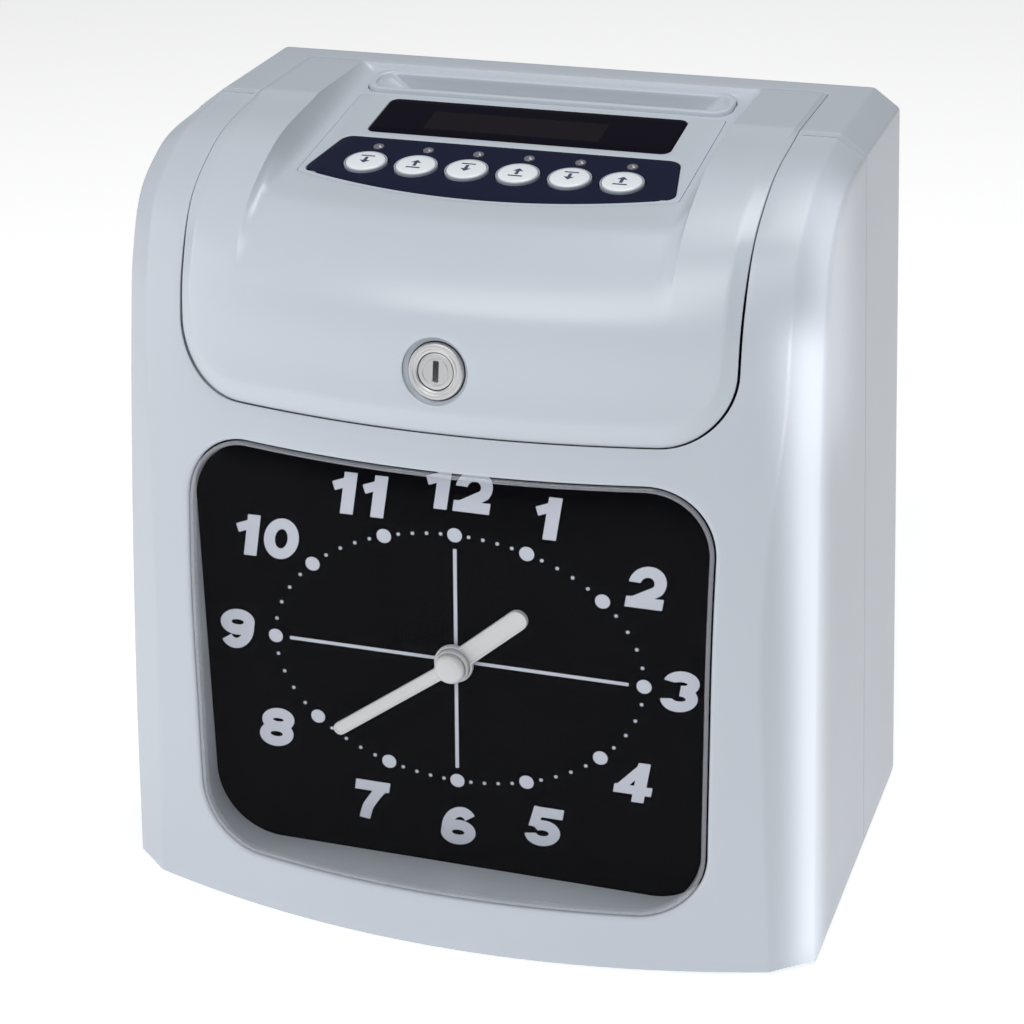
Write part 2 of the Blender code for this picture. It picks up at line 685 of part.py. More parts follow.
def hand_outline(length, half_width, hub):
    """A straight bar with a round end that leaves a round hub; it points along +Z."""
    angle = math.degrees(math.asin(half_width / hub))
    points = arc((0, 0), hub, 90 + angle, 450 - angle, 20)
    return points + arc((0, length - half_width), half_width, 0, 180, 8)


def build_hands():
    """Hour hand next to the dial, minute hand in front of it, and the cap over both."""
    centre = (0, DIAL_FACE_Y, DIAL_Z)
    hour_angle = math.radians(30 * HOUR + MINUTE / 2)
    minute_angle = math.radians(6 * MINUTE)
    hour = make("hour_hand", prism(hand_outline(*HOUR_HAND), "Y", -2.8, -1.3), "hand_white",
                centre, (0, hour_angle, 0))
    cut(hour, guide("hour_hand_bore", rod(HOUR_TUBE_RADIUS + GAP, -15, 10, 20), centre, ALONG_Y))
    minute = make("minute_hand", prism(hand_outline(*MINUTE_HAND), "Y", -4.6, -3.4),
                  "hand_white", centre, (0, minute_angle, 0))
    cut(minute, guide("minute_hand_bore", rod(ARBOR_RADIUS + GAP, -15, 10, 16), centre, ALONG_Y))
    cap = [(0, 5.1), (4.6, 5.1), (4.6, 5.9), (3.6, 6.8), (1.8, 7.3), (0, 7.4)]
    make("hand_cap", lathe(cap, 20), "hand_white", centre, FACING_FRONT, smooth=True)


# ---------------------------------------------------------------- upper cover

def build_cover():
    stations = [0, 16, 32, 46, SCOOP_FLAT, 59.0, 60.5, 62.0, SCOOP_CREST, 74, 90]
    xs = mirrored(stations)
    inner = COVER_PROUD - COVER_SKIN
    cover = make("upper_cover",
                 skin(xs, COVER_PROUD, COVER_PROUD - COVER_SKIRT, rear_y=-6, scoop=True),
                 "cover_plastic", smooth=True)
    outline = guide("cover_outline", prism(cover_outline(0.0), "Y", -FAR, cover_rear))
    hollow = guide("cover_hollow", skin(xs, inner, inner - 12, rear_y=-6, scoop=True))
    trim(hollow, guide("cover_inner_outline",
                       prism(cover_outline(-COVER_RIM), "Y", -FAR, cover_inner_rear)))
    funnel = guide("funnel_cut", prism(funnel_outline(GAP), "Z", 200, 240))
    panel = guide("panel_cut", prism(panel_outline(GAP), "Z", 200, 240))
    lock = guide("lock_cut", lathe([(0, -20), (LOCK_BODY + GAP, -20), (LOCK_BODY + GAP, -1.0),
                                    (LOCK_SEAT, -1.0), (LOCK_SEAT, 6), (0, 6)], 28),
                 lock_origin(), lock_turn())
    notches = []
    for x in (-ARM_X - ARM_WIDTH, ARM_X):
        notches.append(guide(f"arm_notch_{x:.0f}",
                             box((x - ARM_GAP, x + ARM_WIDTH + ARM_GAP), (-18, -8),
                                 (210, HINGE_Z + 3.8))))
    return cut(trim(cover, outline), hollow, funnel, panel, lock, *notches)


def panel_prism(outline, bottom, top):
    """A plate parallel to the sunken panel, between two heights above its surface."""
    return prism(outline, "Z", lambda y: panel_z(y) + bottom, lambda y: panel_z(y) + top)


def funnel_outline(grow):
    radius = (FUNNEL_REAR_Y - FUNNEL_FRONT_Y) / 2 - 2.0 + grow
    return rounded_rectangle((-FUNNEL_HALF_WIDTH - grow, FUNNEL_FRONT_Y - grow),
                             (FUNNEL_HALF_WIDTH + grow, FUNNEL_REAR_Y + grow), [radius] * 4, 4)


def build_funnel():
    """Rounded mouth that leads the card from the cover into the chute."""
    body = panel_prism(funnel_outline(0.0), -10.5, 1.0)
    funnel = make("card_funnel", body, "cover_plastic")
    mouth = rounded_rectangle((-MOUTH_HALF_WIDTH, MOUTH_FRONT_Y), (MOUTH_HALF_WIDTH, MOUTH_REAR_Y),
                              [MOUTH_RADIUS] * 4, 4)
    throat = rounded_rectangle((-CARD_HALF_WIDTH, CHUTE_FRONT_Y), (CARD_HALF_WIDTH, CHUTE_REAR_Y),
                               [1.0] * 4, 4)
    bm = bmesh.new()
    rings = []
    for outline, height in ((throat, -14.0), (throat, -6.5), (mouth, 0.4), (mouth, 4.0)):
        rings.append([bm.verts.new((x, y, panel_z(y) + height)) for x, y in outline])
    bm.faces.new(rings[0])
    bm.faces.new(rings[-1])
    for lower, upper in zip(rings, rings[1:]):
        for i in range(len(lower)):
            j = (i + 1) % len(lower)
            bm.faces.new((lower[i], lower[j], upper[j], upper[i]))
    return cut(funnel, guide("funnel_mouth", bm))


def keypad_outline(grow):
    half_rear, half_front = KEYPAD_REAR_HALF + grow, KEYPAD_FRONT_HALF + grow
    points = [(half_front, KEYPAD_SIDE_Y - grow), (half_rear, KEYPAD_REAR_Y + grow),
              (-half_rear, KEYPAD_REAR_Y + grow), (-half_front, KEYPAD_SIDE_Y - grow)]
    steps = 8
    for i in range(1, steps):
        x = -half_front + 2 * half_front * i / steps
        reach = KEYPAD_BOW * (1 - (x / half_front) ** 2)
        points.append((x, KEYPAD_SIDE_Y - grow - reach))
    return points


def panel_outline(grow):
    half = SCOOP_FLAT - 0.5 + grow
    front = KEYPAD_SIDE_Y - 1.4 - grow
    rear = DISPLAY_REAR_Y + 1.9 + grow
    points = [(half, front), (half, rear), (-half, rear), (-half, front)]
    steps = 8
    for i in range(1, steps):
        x = -half + 2 * half * i / steps
        points.append((x, front - KEYPAD_BOW * (1 - (x / half) ** 2)))
    return points


def display_outline(grow):
    return rounded_rectangle((-DISPLAY_HALF_WIDTH - grow, DISPLAY_FRONT_Y - grow),
                             (DISPLAY_HALF_WIDTH + grow, DISPLAY_REAR_Y + grow), [2.5] * 4, 3)


def button_x(index):
    return (index - (BUTTON_COUNT - 1) / 2) * BUTTON_PITCH


def keypad_holes(name, button_radius, led_radius):
    """One cutter with a bore for each button and each light."""
    bm = bmesh.new()
    for index in range(BUTTON_COUNT):
        for y, radius, segments in ((BUTTON_Y, button_radius, 16), (LED_Y, led_radius, 8)):
            tilt = Matrix.Rotation(PANEL_TILT, 4, "X")
            move = Matrix.Translation((button_x(index), y, panel_z(y)))
            bmesh.ops.create_cone(bm, cap_ends=True, segments=segments, radius1=radius,
                                  radius2=radius, depth=30, matrix=move @ tilt)
    return guide(name, bm)


def build_control_panel():
    panel = make("control_panel", panel_prism(panel_outline(0.0), -PANEL_THICKNESS, 0.0),
                 "cover_plastic")
    display_seat = guide("display_seat", panel_prism(display_outline(GAP), -1.2, 5))
    display_hole = guide("display_hole", panel_prism(display_outline(-3.0), -9, 5))
    keypad_seat = guide("keypad_seat", panel_prism(keypad_outline(GAP), -0.8, 5))
    holes = keypad_holes("keypad_bores", BUTTON_RADIUS + GAP, LED_RADIUS + GAP)
    cut(panel, display_seat, display_hole, keypad_seat, holes)
    make("display_window", panel_prism(display_outline(0.0), -0.9, 0.1), "window_black")
    overlay = make("keypad_overlay", panel_prism(keypad_outline(0.0), -0.5, 0.1), "keypad_navy")
    cut(overlay, bpy.data.objects["keypad_bores"])
    make("control_board", panel_prism([(-50, -90), (50, -90), (50, -35), (-50, -35)],
                                      -11.0, -9.6), "circuit_green")


def build_buttons():
    """Six round push buttons that travel into the panel."""
    stem_radius, stem_end, skirt_end = 1.6, -7.6, -4.0
    profile = [(0, stem_end), (stem_radius, stem_end), (stem_radius, skirt_end),
               (BUTTON_RADIUS, skirt_end), (BUTTON_RADIUS, BUTTON_TOP - 0.7),
               (BUTTON_RADIUS - 0.8, BUTTON_TOP), (0, BUTTON_TOP + 0.25)]
    for index in range(BUTTON_COUNT):
        make(f"push_button_{index + 1}", lathe(profile, 14), "button_white",
             (button_x(index), BUTTON_Y, panel_z(BUTTON_Y)), (PANEL_TILT, 0, 0), smooth=True)


def build_light_guide():
    """A clear bar under the panel with a post up to each of the six light windows."""
    reach = button_x(BUTTON_COUNT - 1) + 4
    bar = make("led_light_guide",
               panel_prism([(-reach, LED_Y - 2.4), (reach, LED_Y - 2.4), (reach, LED_Y + 2.4),
                            (-reach, LED_Y + 2.4)], -5.0, -2.8), "clear_plastic")
    posts = []
    for index in range(BUTTON_COUNT):
        origin = (button_x(index), LED_Y, panel_z(LED_Y))
        posts.append(guide(f"light_post_{index + 1}", rod(LED_RADIUS, -3.6, 0.05, 8), origin,
                           (PANEL_TILT, 0, 0)))
    return join(bar, *posts)


def lock_origin():
    """Centre of the lock on the surface of the cover."""
    return (0, LOCK_Y, LOCK_Z)


def lock_turn():
    return (math.radians(90) - LOCK_LEAN, 0, 0)


def build_lock():
    """Barrel, turning plug and the cam that swings down behind the front case."""
    barrel = [(PLUG_RADIUS + 0.2, -8.0), (LOCK_BODY, -8.0), (LOCK_BODY, -0.6),
              (LOCK_FLANGE, -0.6), (LOCK_FLANGE, 0.3), (LOCK_FLANGE - 0.5, 0.7),
              (PLUG_RADIUS + 0.9, 0.7), (PLUG_RADIUS + 0.2, 0.1)]
    make("lock_barrel", lathe(barrel, 28, closed=True), "chrome", lock_origin(), lock_turn(),
         smooth=True)
    plug = make("lock_plug", rod(PLUG_RADIUS, -9.6, 0.2, 24), "chrome", lock_origin(),
                lock_turn(), smooth=True)
    slot = guide("key_slot", box((-0.8, 0.8), (-2.9, 2.9), (-7, 3)), lock_origin(), lock_turn())
    cut(plug, slot)
    cam = [(-CAM_HALF_WIDTH - 0.5, CAM_HALF_WIDTH), (-CAM_HALF_WIDTH - 0.5, -CAM_HALF_WIDTH)]
    cam += arc((CAM_LENGTH, 0), CAM_HALF_WIDTH, -90, 90, 6)
    make("lock_cam", prism(cam, "Z", -11.6, -9.9), "zinc_sheet", lock_origin(), lock_turn())


def build_hinge():
    """Gooseneck arms under the cover turn on one rod held by a rail on the back wall."""
    arm = [(2.1, 0.9), (0.9, 2.1), (-0.9, 2.1), (-2.1, 0.9), (-2.1, -7.0), (-9.2, -7.0),
           (-9.2, 3.5), (-20.0, 3.5), (-20.0, -10.5), (2.1, -10.5)]
    bore = guide("arm_bore", rod(HINGE_PIN_RADIUS + 0.3, -90, 90, 14), (0, HINGE_Y, HINGE_Z),
                 ALONG_X)
    for name, low in (("hinge_arm_left", -ARM_X - ARM_WIDTH), ("hinge_arm_right", ARM_X)):
        obj = make(name, prism(arm, "X", low, low + ARM_WIDTH), "zinc_sheet",
                   (0, HINGE_Y, HINGE_Z))
        cut(obj, bore)
    base, ear, ear_top = HINGE_Z - 18.0, HINGE_Z - 12.0, HINGE_Z + 2.4
    inner = (ARM_X - ARM_GAP - RAIL_THICKNESS, ARM_X - ARM_GAP)
    outer = (ARM_X + ARM_WIDTH + ARM_GAP, ARM_X + ARM_WIDTH + ARM_GAP + RAIL_THICKNESS)
    half = []
    for low, high in (inner, outer):
        half += [(low, ear), (low, ear_top), (high, ear_top), (high, ear)]
    half[-1] = (outer[1], base)
    outline = half + [(-x, z) for x, z in reversed(half)]
    rail = make("hinge_rail", prism(outline, "Y", HINGE_Y - 2.4, HINGE_Y + 2.2), "zinc_sheet")
    cut(rail, bore)
    make("hinge_pin", rod(HINGE_PIN_RADIUS, -76, 76, 12), "steel", (0, HINGE_Y, HINGE_Z),
         ALONG_X, smooth=True)


# ---------------------------------------------------------------- card printer

def guide_plate(name, low_y, high_y, windows):
    plate = make(name, box((-CARD_HALF_WIDTH - 2, CARD_HALF_WIDTH + 2), (low_y, high_y),
                           (CHUTE_BOTTOM, CHUTE_TOP)), "zinc_sheet")
    cutters = []
    for number, (x, z) in enumerate(windows):
        cutters.append(guide(f"{name}_window_{number}", box(x, (low_y - 3, high_y + 3), z)))
    return cut(plate, *cutters)


def build_card_guides():
    rollers = []
    for side in (-1, 1):
        ends = sorted((side * (TYRE_INNER - 2), side * (TYRE_OUTER + 2)))
        rollers.append((ends, (ROLLER_Z - 9, ROLLER_Z + 9)))
    print_window = ((-42, 42), (184, 199))
    guide_plate("card_guide_rear", CHUTE_REAR_Y, CHUTE_REAR_Y + GUIDE_THICKNESS, rollers)
    guide_plate("card_guide_front", CHUTE_FRONT_Y - GUIDE_THICKNESS, CHUTE_FRONT_Y,
                rollers + [print_window])


def build_print_frame():
    inner = FRAME_HALF_WIDTH - FRAME_SHEET
    floor = FRAME_Z + FRAME_SHEET
    outline = [(-FRAME_HALF_WIDTH, FRAME_Z), (FRAME_HALF_WIDTH, FRAME_Z),
               (FRAME_HALF_WIDTH, FRAME_TOP), (inner, FRAME_TOP), (inner, floor),
               (-inner, floor), (-inner, FRAME_TOP), (-FRAME_HALF_WIDTH, FRAME_TOP)]
    frame = make("print_frame", prism(outline, "Y", FRAME_FRONT_Y, -3.0), "zinc_sheet")
    card_gap = guide("frame_card_gap", box((-inner, inner), (-33, 3), (FRAME_Z - 5, floor + 5)))
    bores = []
    for name, y, z, radius in (("shaft", SHAFT_Y, SHAFT_Z, SHAFT_RADIUS),
                               ("feed", FEED_Y, ROLLER_Z, FEED_SHAFT),
                               ("pinch", PINCH_Y, ROLLER_Z, PINCH_SHAFT)):
        bores.append(guide(f"frame_bore_{name}", rod(radius + 0.25, -90, 90, 20), (0, y, z),
                           ALONG_X))
    motor = guide("frame_motor_bore", rod(PULLEY_SHAFT + 0.6, -6, 6, 14), (BELT_HALF_SPAN, BELT_Y, FRAME_Z))
    return cut(frame, card_gap, *bores, motor)


def build_carriage():
    """Print head and carriage on a cross shaft, drawn by a toothed belt."""
    make("carriage_shaft", rod(SHAFT_RADIUS, -64, 64, 18), "steel", (0, SHAFT_Y, SHAFT_Z),
         ALONG_X, smooth=True)
    bottom, step, top = 160, 169, 178
    side = [(-34, bottom), (-34, top), (-54, top), (-54, step), (TAB_FRONT_Y, step),
            (TAB_FRONT_Y, bottom)]
    carriage = make("print_carriage", prism(side, "X", -15, 15), "black_plastic")
    cut(carriage, guide("carriage_bore", rod(SHAFT_RADIUS + 0.25, -30, 30, 18),
                        (0, SHAFT_Y, SHAFT_Z), ALONG_X))
    nose = [(-26.8, 186), (-26.8, 195), (-30, 198), (-47, 198), (-47, 178.3), (-30, 178.3)]
    make("print_head", prism(nose, "X", -9, 9), "black_plastic")
    low, high = PULLEY_Z
    rim = [(PULLEY_FLANGE, low), (PULLEY_FLANGE, low + FLANGE_THICKNESS),
           (PULLEY_RADIUS, low + FLANGE_THICKNESS), (PULLEY_RADIUS, high - FLANGE_THICKNESS),
           (PULLEY_FLANGE, high - FLANGE_THICKNESS), (PULLEY_FLANGE, high), (0, high)]
    for name, x, shaft_end in (("drive_pulley", BELT_HALF_SPAN, 138.9),
                               ("idler_pulley", -BELT_HALF_SPAN, 141.9)):
        shaft = [(0, shaft_end), (PULLEY_SHAFT, shaft_end), (PULLEY_SHAFT, low)]
        make(name, lathe(shaft + rim, 20), "nylon", (x, BELT_Y, 0), smooth=True)
    loops = []
    for radius in (BELT_RADIUS + 1.0, BELT_RADIUS):
        right = arc((BELT_HALF_SPAN, BELT_Y), radius, -90, 90, 8)
        left = arc((-BELT_HALF_SPAN, BELT_Y), radius, 90, 270, 8)
        loops.append(right + left)
    middle = (low + high) / 2
    belt = make("timing_belt", prism(loops[0], "Z", middle - BELT_WIDTH / 2,
                                     middle + BELT_WIDTH / 2), "rubber")
    cut(belt, guide("belt_inside", prism(loops[1], "Z", 150, 180)))
    motor = [(0, 116), (13, 116), (14, 117), (14, 137.4), (13, 138.6), (0, 138.6)]
    make("carriage_motor", lathe(motor, 24), "zinc_sheet", (BELT_HALF_SPAN, BELT_Y, 0),
         smooth=True)


def build_ribbon():
    """Cartridge with two horns that hold the inked band in front of the card."""
    plan = [(-58, -52), (-58, -27), (-47, -27), (-47, -52), (47, -52), (47, -27), (58, -27),
            (58, -52), (58, -74), (-58, -74)]
    make("ribbon_cartridge", prism(plan, "Z", *CARTRIDGE_Z), "black_plastic")
    make("ink_ribbon", box((-56, 56), (-26.4, -25.9), (186, 194)), "ribbon_ink")
    low = CARTRIDGE_Z[1] + 0.4
    knob = [(0, low), (7.0, low), (7.0, low + 4.5), (6.2, low + 5.5), (0, low + 5.5)]
    make("ribbon_knob", lathe(knob, 16), "nylon", (40, -63, 0), smooth=True)


def build_feed():
    """Feed and pinch rollers meet through the card guides; a motor drives the feed roller."""
    tyre = TYRE_INNER, TYRE_OUTER
    rollers = (("feed_roller", FEED_Y, FEED_SHAFT, FEED_RADIUS, (-64, 70)),
               ("pinch_roller", PINCH_Y, PINCH_SHAFT, PINCH_RADIUS, (-63, 63)))
    for name, y, shaft, radius, ends in rollers:
        profile = [(0, ends[0]), (shaft, ends[0])]
        for low, high in ((-tyre[1], -tyre[0]), (tyre[0], tyre[1])):
            profile += [(shaft, low), (radius, low), (radius, high), (shaft, high)]
        profile += [(shaft, ends[1]), (0, ends[1])]
        make(name, lathe(profile, 20), "rubber", (0, y, ROLLER_Z), ALONG_X, smooth=True)
    gap_phase = math.pi / FEED_TEETH
    make("feed_gear", gear(FEED_TEETH, FEED_MODULE, gap_phase - math.pi / 2, 70.3, 75.3), "nylon",
         (0, FEED_Y, ROLLER_Z), ALONG_X)
    pinion_y = FEED_Y - FEED_CENTRES
    make("motor_pinion", gear(FEED_PINION_TEETH, FEED_MODULE, math.pi / 2, 70.3, 76.0), "brass",
         (0, pinion_y, ROLLER_Z), ALONG_X)
    motor = [(0, 76.4), (10, 76.4), (11, 77.4), (11, 94), (10, 95), (0, 95)]
    make("feed_motor", lathe(motor, 24), "zinc_sheet", (0, pinion_y, ROLLER_Z), ALONG_X,
         smooth=True)


# ---------------------------------------------------------------- electrics

def build_electrics():
    board = make("main_board", box((-92, 22), (-10.0, -8.4), (34, 106)), "circuit_green")
    parts = []
    blocks = (((-84, -60), -24, (44, 60)), ((-50, -30), -22, (42, 66)), ((-20, 6), -18, (46, 58)),
              ((-70, -40), -14, (80, 94)), ((-10, 14), -20, (84, 98)))
    for number, (x, y, z) in enumerate(blocks):
        parts.append(guide(f"board_part_{number}", box(x, (y, -9.0), z)))
    join(board, *parts)
    core = make("transformer", box((44, 94), (-50, -24), (6, 46)), "transformer_iron")
    join(core, guide("transformer_coil", box((52, 86), (-60, -22.5), (13, 39))))


def build():
    clear_scene()
    cover_opening()
    build_front_case()
    build_rear_housing()
    build_feet()
    build_screws()
    build_inlet()
    build_lens()
    build_dial()
    build_movement()
    build_motion_work()
    build_hands()
    build_cover()
    build_funnel()
    build_control_panel()
    build_buttons()
    build_light_guide()
    build_lock()
    build_hinge()
    build_print_frame()
    build_card_guides()
    build_carriage()
    build_ribbon()
    build_feed()
    build_electrics()


build()
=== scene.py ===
"""Looks of the punch time clock: its shells, dial, lens, cover, materials and light.

Shapes are in millimetres in the clock's own axes, as in the CAD source: X to the right, Y to
the rear with 0 at the back plane, Z up from the underside of the case.  place() turns them
into the frame's metres.  Outlines that run anticlockwise have the material on their inside.
"""
import math

import bmesh
import bpy
import numpy as np
from mathutils import Matrix, Vector, geometry


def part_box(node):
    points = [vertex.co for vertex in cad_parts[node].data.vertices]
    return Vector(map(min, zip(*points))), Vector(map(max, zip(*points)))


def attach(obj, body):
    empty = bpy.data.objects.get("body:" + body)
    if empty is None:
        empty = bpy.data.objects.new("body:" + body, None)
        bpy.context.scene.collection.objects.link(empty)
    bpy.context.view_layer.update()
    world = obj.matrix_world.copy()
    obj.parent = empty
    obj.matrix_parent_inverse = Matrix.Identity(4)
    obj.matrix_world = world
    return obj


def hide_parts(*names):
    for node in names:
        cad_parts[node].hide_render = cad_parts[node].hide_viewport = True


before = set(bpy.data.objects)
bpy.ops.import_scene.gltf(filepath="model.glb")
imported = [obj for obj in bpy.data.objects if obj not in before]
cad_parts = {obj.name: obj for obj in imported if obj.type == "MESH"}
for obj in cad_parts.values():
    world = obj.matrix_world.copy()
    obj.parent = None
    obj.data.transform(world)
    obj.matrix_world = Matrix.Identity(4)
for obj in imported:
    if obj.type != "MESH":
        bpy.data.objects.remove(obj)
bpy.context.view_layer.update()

MM = 0.001
BACK_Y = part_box("rear_housing")[1].y / MM           # back plane, in the frame
FOOT_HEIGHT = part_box("rear_housing")[0].z / MM
SHARP_ANGLE = math.radians(35)          # a steeper edge than this is shaded as an edge


def case_box(node):
    """A node's lowest and highest corners in the clock's own axes, in millimetres."""
    shift = Vector((0, BACK_Y, FOOT_HEIGHT))
    low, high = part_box(node)
    return low / MM - shift, high / MM - shift


# ---------------------------------------------------------------- driving sizes

# Case
CASE_TOP, BASE_HALF_WIDTH = case_box("rear_housing")[1].z, case_box("rear_housing")[1].x
SEAM_Y = (case_box("rear_housing")[0].y + case_box("front_case")[1].y) / 2
SEAM_GAP, SEAM_LIP = 0.15, 0.3          # from the joint to each half, and its rounded edge
SIDE_TAPER, SHOULDER_Z = 0.0307, 224.4
BOW, BOW_FADE = 15.5, 35.0              # how far the front bows out, and over what height it fades
WALL = 2.5
CREASE = 0.9                            # how far each softened crease reaches
# Points up the front corner (x, y, z) and up the edge of the side wall (y, z)
FRONT_CORNER = [(97.2, -127.5, 0.0), (93.9, -126.4, 62.0), (92.2, -124.2, 112.0),
                (93.6, -118.6, 146.0), (95.2, -112.6, 172.0), (95.0, -108.6, 194.0),
                (94.6, -99.5, 213.5), (94.2, -84.0, 223.6), (94.3, SEAM_Y, CASE_TOP)]
SIDE_EDGE = [(-117.6, 0.0), (-115.2, 62.0), (-111.6, 112.0), (-108.4, 146.0),
             (-105.4, 172.0), (-101.6, 195.0), (-94.0, 212.0), (-82.0, 219.9),
             (SEAM_Y, SHOULDER_Z)]
ROWS_PER_SPAN = 40
FOOT_RADIUS = 7.0
KEYHOLE_X, KEYHOLE_Z, KEYHOLE_RADIUS, KEYHOLE_SLOT, KEYHOLE_RISE = 80.0, 182.0, 5.0, 2.6, 11.0
SCREW_PLACES, SCREW_RADIUS = [(x, z) for x in (-96.0, 96.0) for z in (14.0, 206.0)], 1.5
INLET_LOW, INLET_HIGH = (np.array([corner.x, corner.z]) for corner in case_box("power_inlet"))

# Clock: the dial's centre is at (0, DIAL_Z); a hand is (length, half width, hub radius)
LENS_LOW, LENS_HIGH = case_box("clock_lens")
LENS_GAP, WINDOW_RADIUS, WINDOW_LIP = 0.4, 20.0, 1.1
WINDOW_DROOP = 3.0                      # how much lower the recess's floor is at the dial
DIAL_LOW, DIAL_HIGH = case_box("dial_plate")
DIAL_Y, DIAL_Z = DIAL_LOW.y, 84.4
HOUR_HAND, MINUTE_HAND = (29.2, 3.1, 5.9), (46.6, 2.0, 5.2)
HOUR_ANGLE, MINUTE_ANGLE = math.radians(49.5), math.radians(234)
DIGIT_HEIGHT, STROKE = 13.4, 3.5
TALL, WIDE = (DIGIT_HEIGHT - STROKE) / 2, 3.75      # half sizes of a digit's stroke line
NUMERAL_LEAN, PRINT_SHEAR = 0.15, 0.02  # slant of the digits, and of the whole printing
MARK_ELLIPSE = (57.0, 40.6)
# Centres of the numbers one to twelve, from the dial's centre
NUMERAL_PLACES = [(28.0, 49.5), (57.2, 31.7), (67.8, 0.0), (54.6, -32.0), (27.2, -52.0),
                  (0.4, -56.3), (-28.0, -52.0), (-57.8, -31.5), (-69.6, 0.5), (-58.6, 32.4),
                  (-28.8, 49.8), (1.2, 55.0)]

# Cover
COVER_LOW, COVER_HIGH = case_box("upper_cover")
COVER_RADIUS, COVER_GAP, COVER_SKIRT, COVER_WALL = 20.0, 0.4, 8.8, 1.6
COVER_REVEAL = 0.25                     # how much of the joint around it the cover hides
COVER_PROUD, COVER_SWELL = 0.8, 1.2     # how far it stands out, and how much more lower down
BEVEL_FLOOR, BEVEL_SIDE, BEVEL_TOP, BEVEL_UNDERCUT = 6.0, 4.0, 1.2, 0.7
SCOOP_FLAT, SCOOP_CREST, SCOOP_BLEND = 57.5, 63.5, 1.6
SCOOP_TAIL, TAIL_END_Z = 1.7, 195.0     # the scoop runs out down the front as a shallow step
SCOOP_REAR_Y, SCOOP_RISE = -11.8, 3.2   # where the scoop climbs back to the flat top
PANEL_REAR_Y, PANEL_REAR_Z, PANEL_SLOPE = -33.5, 225.9, 0.151
PANEL_TILT = math.atan(PANEL_SLOPE)
HINGE_Y, HINGE_Z = -5.0, CASE_TOP - 5.4
FUNNEL_LOW, FUNNEL_HIGH = case_box("card_funnel")
DISPLAY_LOW, DISPLAY_HIGH = case_box("display_window")
KEYPAD_REAR_Y, KEYPAD_SIDE_Y, KEYPAD_BOW = -60.2, -83.0, 10.0
KEYPAD_REAR_HALF, KEYPAD_FRONT_HALF = 50.9, 55.5
BUTTON_COUNT, BUTTON_PITCH, BUTTON_RADIUS, BUTTON_Y = 6, 15.4, 6.4, -76.7
LED_Y, LED_RADIUS = -66.0, 1.65
LOCK_Y, LOCK_Z, LOCK_LEAN, LOCK_SEAT = -127.7, 178.5, math.radians(10.3), 9.6


def place(points):
    """Turn points of the clock's own axes into the frame's metres."""
    return (np.asarray(points, float) + (0, BACK_Y, FOOT_HEIGHT)) * MM


# ---------------------------------------------------------------- mesh helpers

def add_mesh(name, verts, faces, mat, body, stands_for=(), slot=None, smooth=True):
    """A finished piece from points in the clock's own axes."""
    mesh = bpy.data.meshes.new(name)
    mesh.from_pydata([tuple(v) for v in place(verts)], [], [tuple(f) for f in faces])
    bm = bmesh.new()
    bm.from_mesh(mesh)
    bmesh.ops.remove_doubles(bm, verts=bm.verts, dist=0.01 * MM)
    bmesh.ops.recalc_face_normals(bm, faces=bm.faces)
    bm.to_mesh(mesh)
    bm.free()
    obj = bpy.data.objects.new(name, mesh)
    bpy.context.scene.collection.objects.link(obj)
    mesh.materials.append(mat)
    if smooth:
        mesh.shade_smooth()
        mesh.set_sharp_from_angle(angle=SHARP_ANGLE)
    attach(obj, body)
    if stands_for:
        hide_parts(*stands_for)
    return obj


def merge(*parts):
    """One (verts, faces) from several."""
    verts, faces = [], []
    for part_verts, part_faces in parts:
        start = len(verts)
        verts += [tuple(v) for v in part_verts]
        faces += [tuple(i + start for i in face) for face in part_faces]
    return verts, faces


def bridge(rings):
    """Quads between closed rings of the same count."""
    count = len(rings[0])
    verts = [tuple(p) for ring in rings for p in ring]
    faces = []
    for a in range(0, len(verts) - count, count):
        for i in range(count):
            j = (i + 1) % count
            faces.append((a + i, a + j, a + count + j, a + count + i))
    return verts, faces


def arc(centre, radii, start, end, steps):
    """Points on an arc or an elliptic arc, with angles in degrees."""
    rx, ry = radii if isinstance(radii, tuple) else (radii, radii)
    angles = np.radians(np.linspace(start, end, steps + 1))
    return np.stack([centre[0] + rx * np.cos(angles), centre[1] + ry * np.sin(angles)], 1)


def dense(points, spacing):
    """The closed outline with extra points, so that none are further apart than spacing."""
    points = np.asarray(points, float)
    out = []
    for a, b in zip(points, np.roll(points, -1, 0)):
        count = max(1, int(math.ceil(np.linalg.norm(b - a) / spacing)))
        for k in range(count):
            out.append(a + (b - a) * k / count)
    return np.array(out)


def rounded(low, high, radii, spacing=2.5, steps=14):
    """Anticlockwise rectangle with rounded corners, one radius or four from the lower left."""
    radii = radii if isinstance(radii, (list, tuple)) else [radii] * 4
    corners = [(low[0], low[1], 180, 1, 1), (high[0], low[1], 270, -1, 1),
               (high[0], high[1], 0, -1, -1), (low[0], high[1], 90, 1, -1)]
    points = []
    for (x, y, start, sx, sy), radius in zip(corners, radii):
        if radius == 0:
            points.append([(x, y)])
        else:
            points.append(arc((x + sx * radius, y + sy * radius), radius, start, start + 90,
                              steps))
    return dense(np.concatenate(points), spacing)


def offset(loop, distance):
    """The closed outline moved to its left, which is inwards when it runs anticlockwise."""
    before = loop - np.roll(loop, 1, 0)
    after = np.roll(loop, -1, 0) - loop
    normals = []
    for edge in (before, after):
        length = np.linalg.norm(edge, axis=1, keepdims=True)
        normals.append(np.stack([-edge[:, 1], edge[:, 0]], 1) / np.maximum(length, 1e-9))
    both = normals[0] + normals[1]
    share = 1 + np.sum(normals[0] * normals[1], 1, keepdims=True)
    return loop + both / np.maximum(share, 0.3) * distance


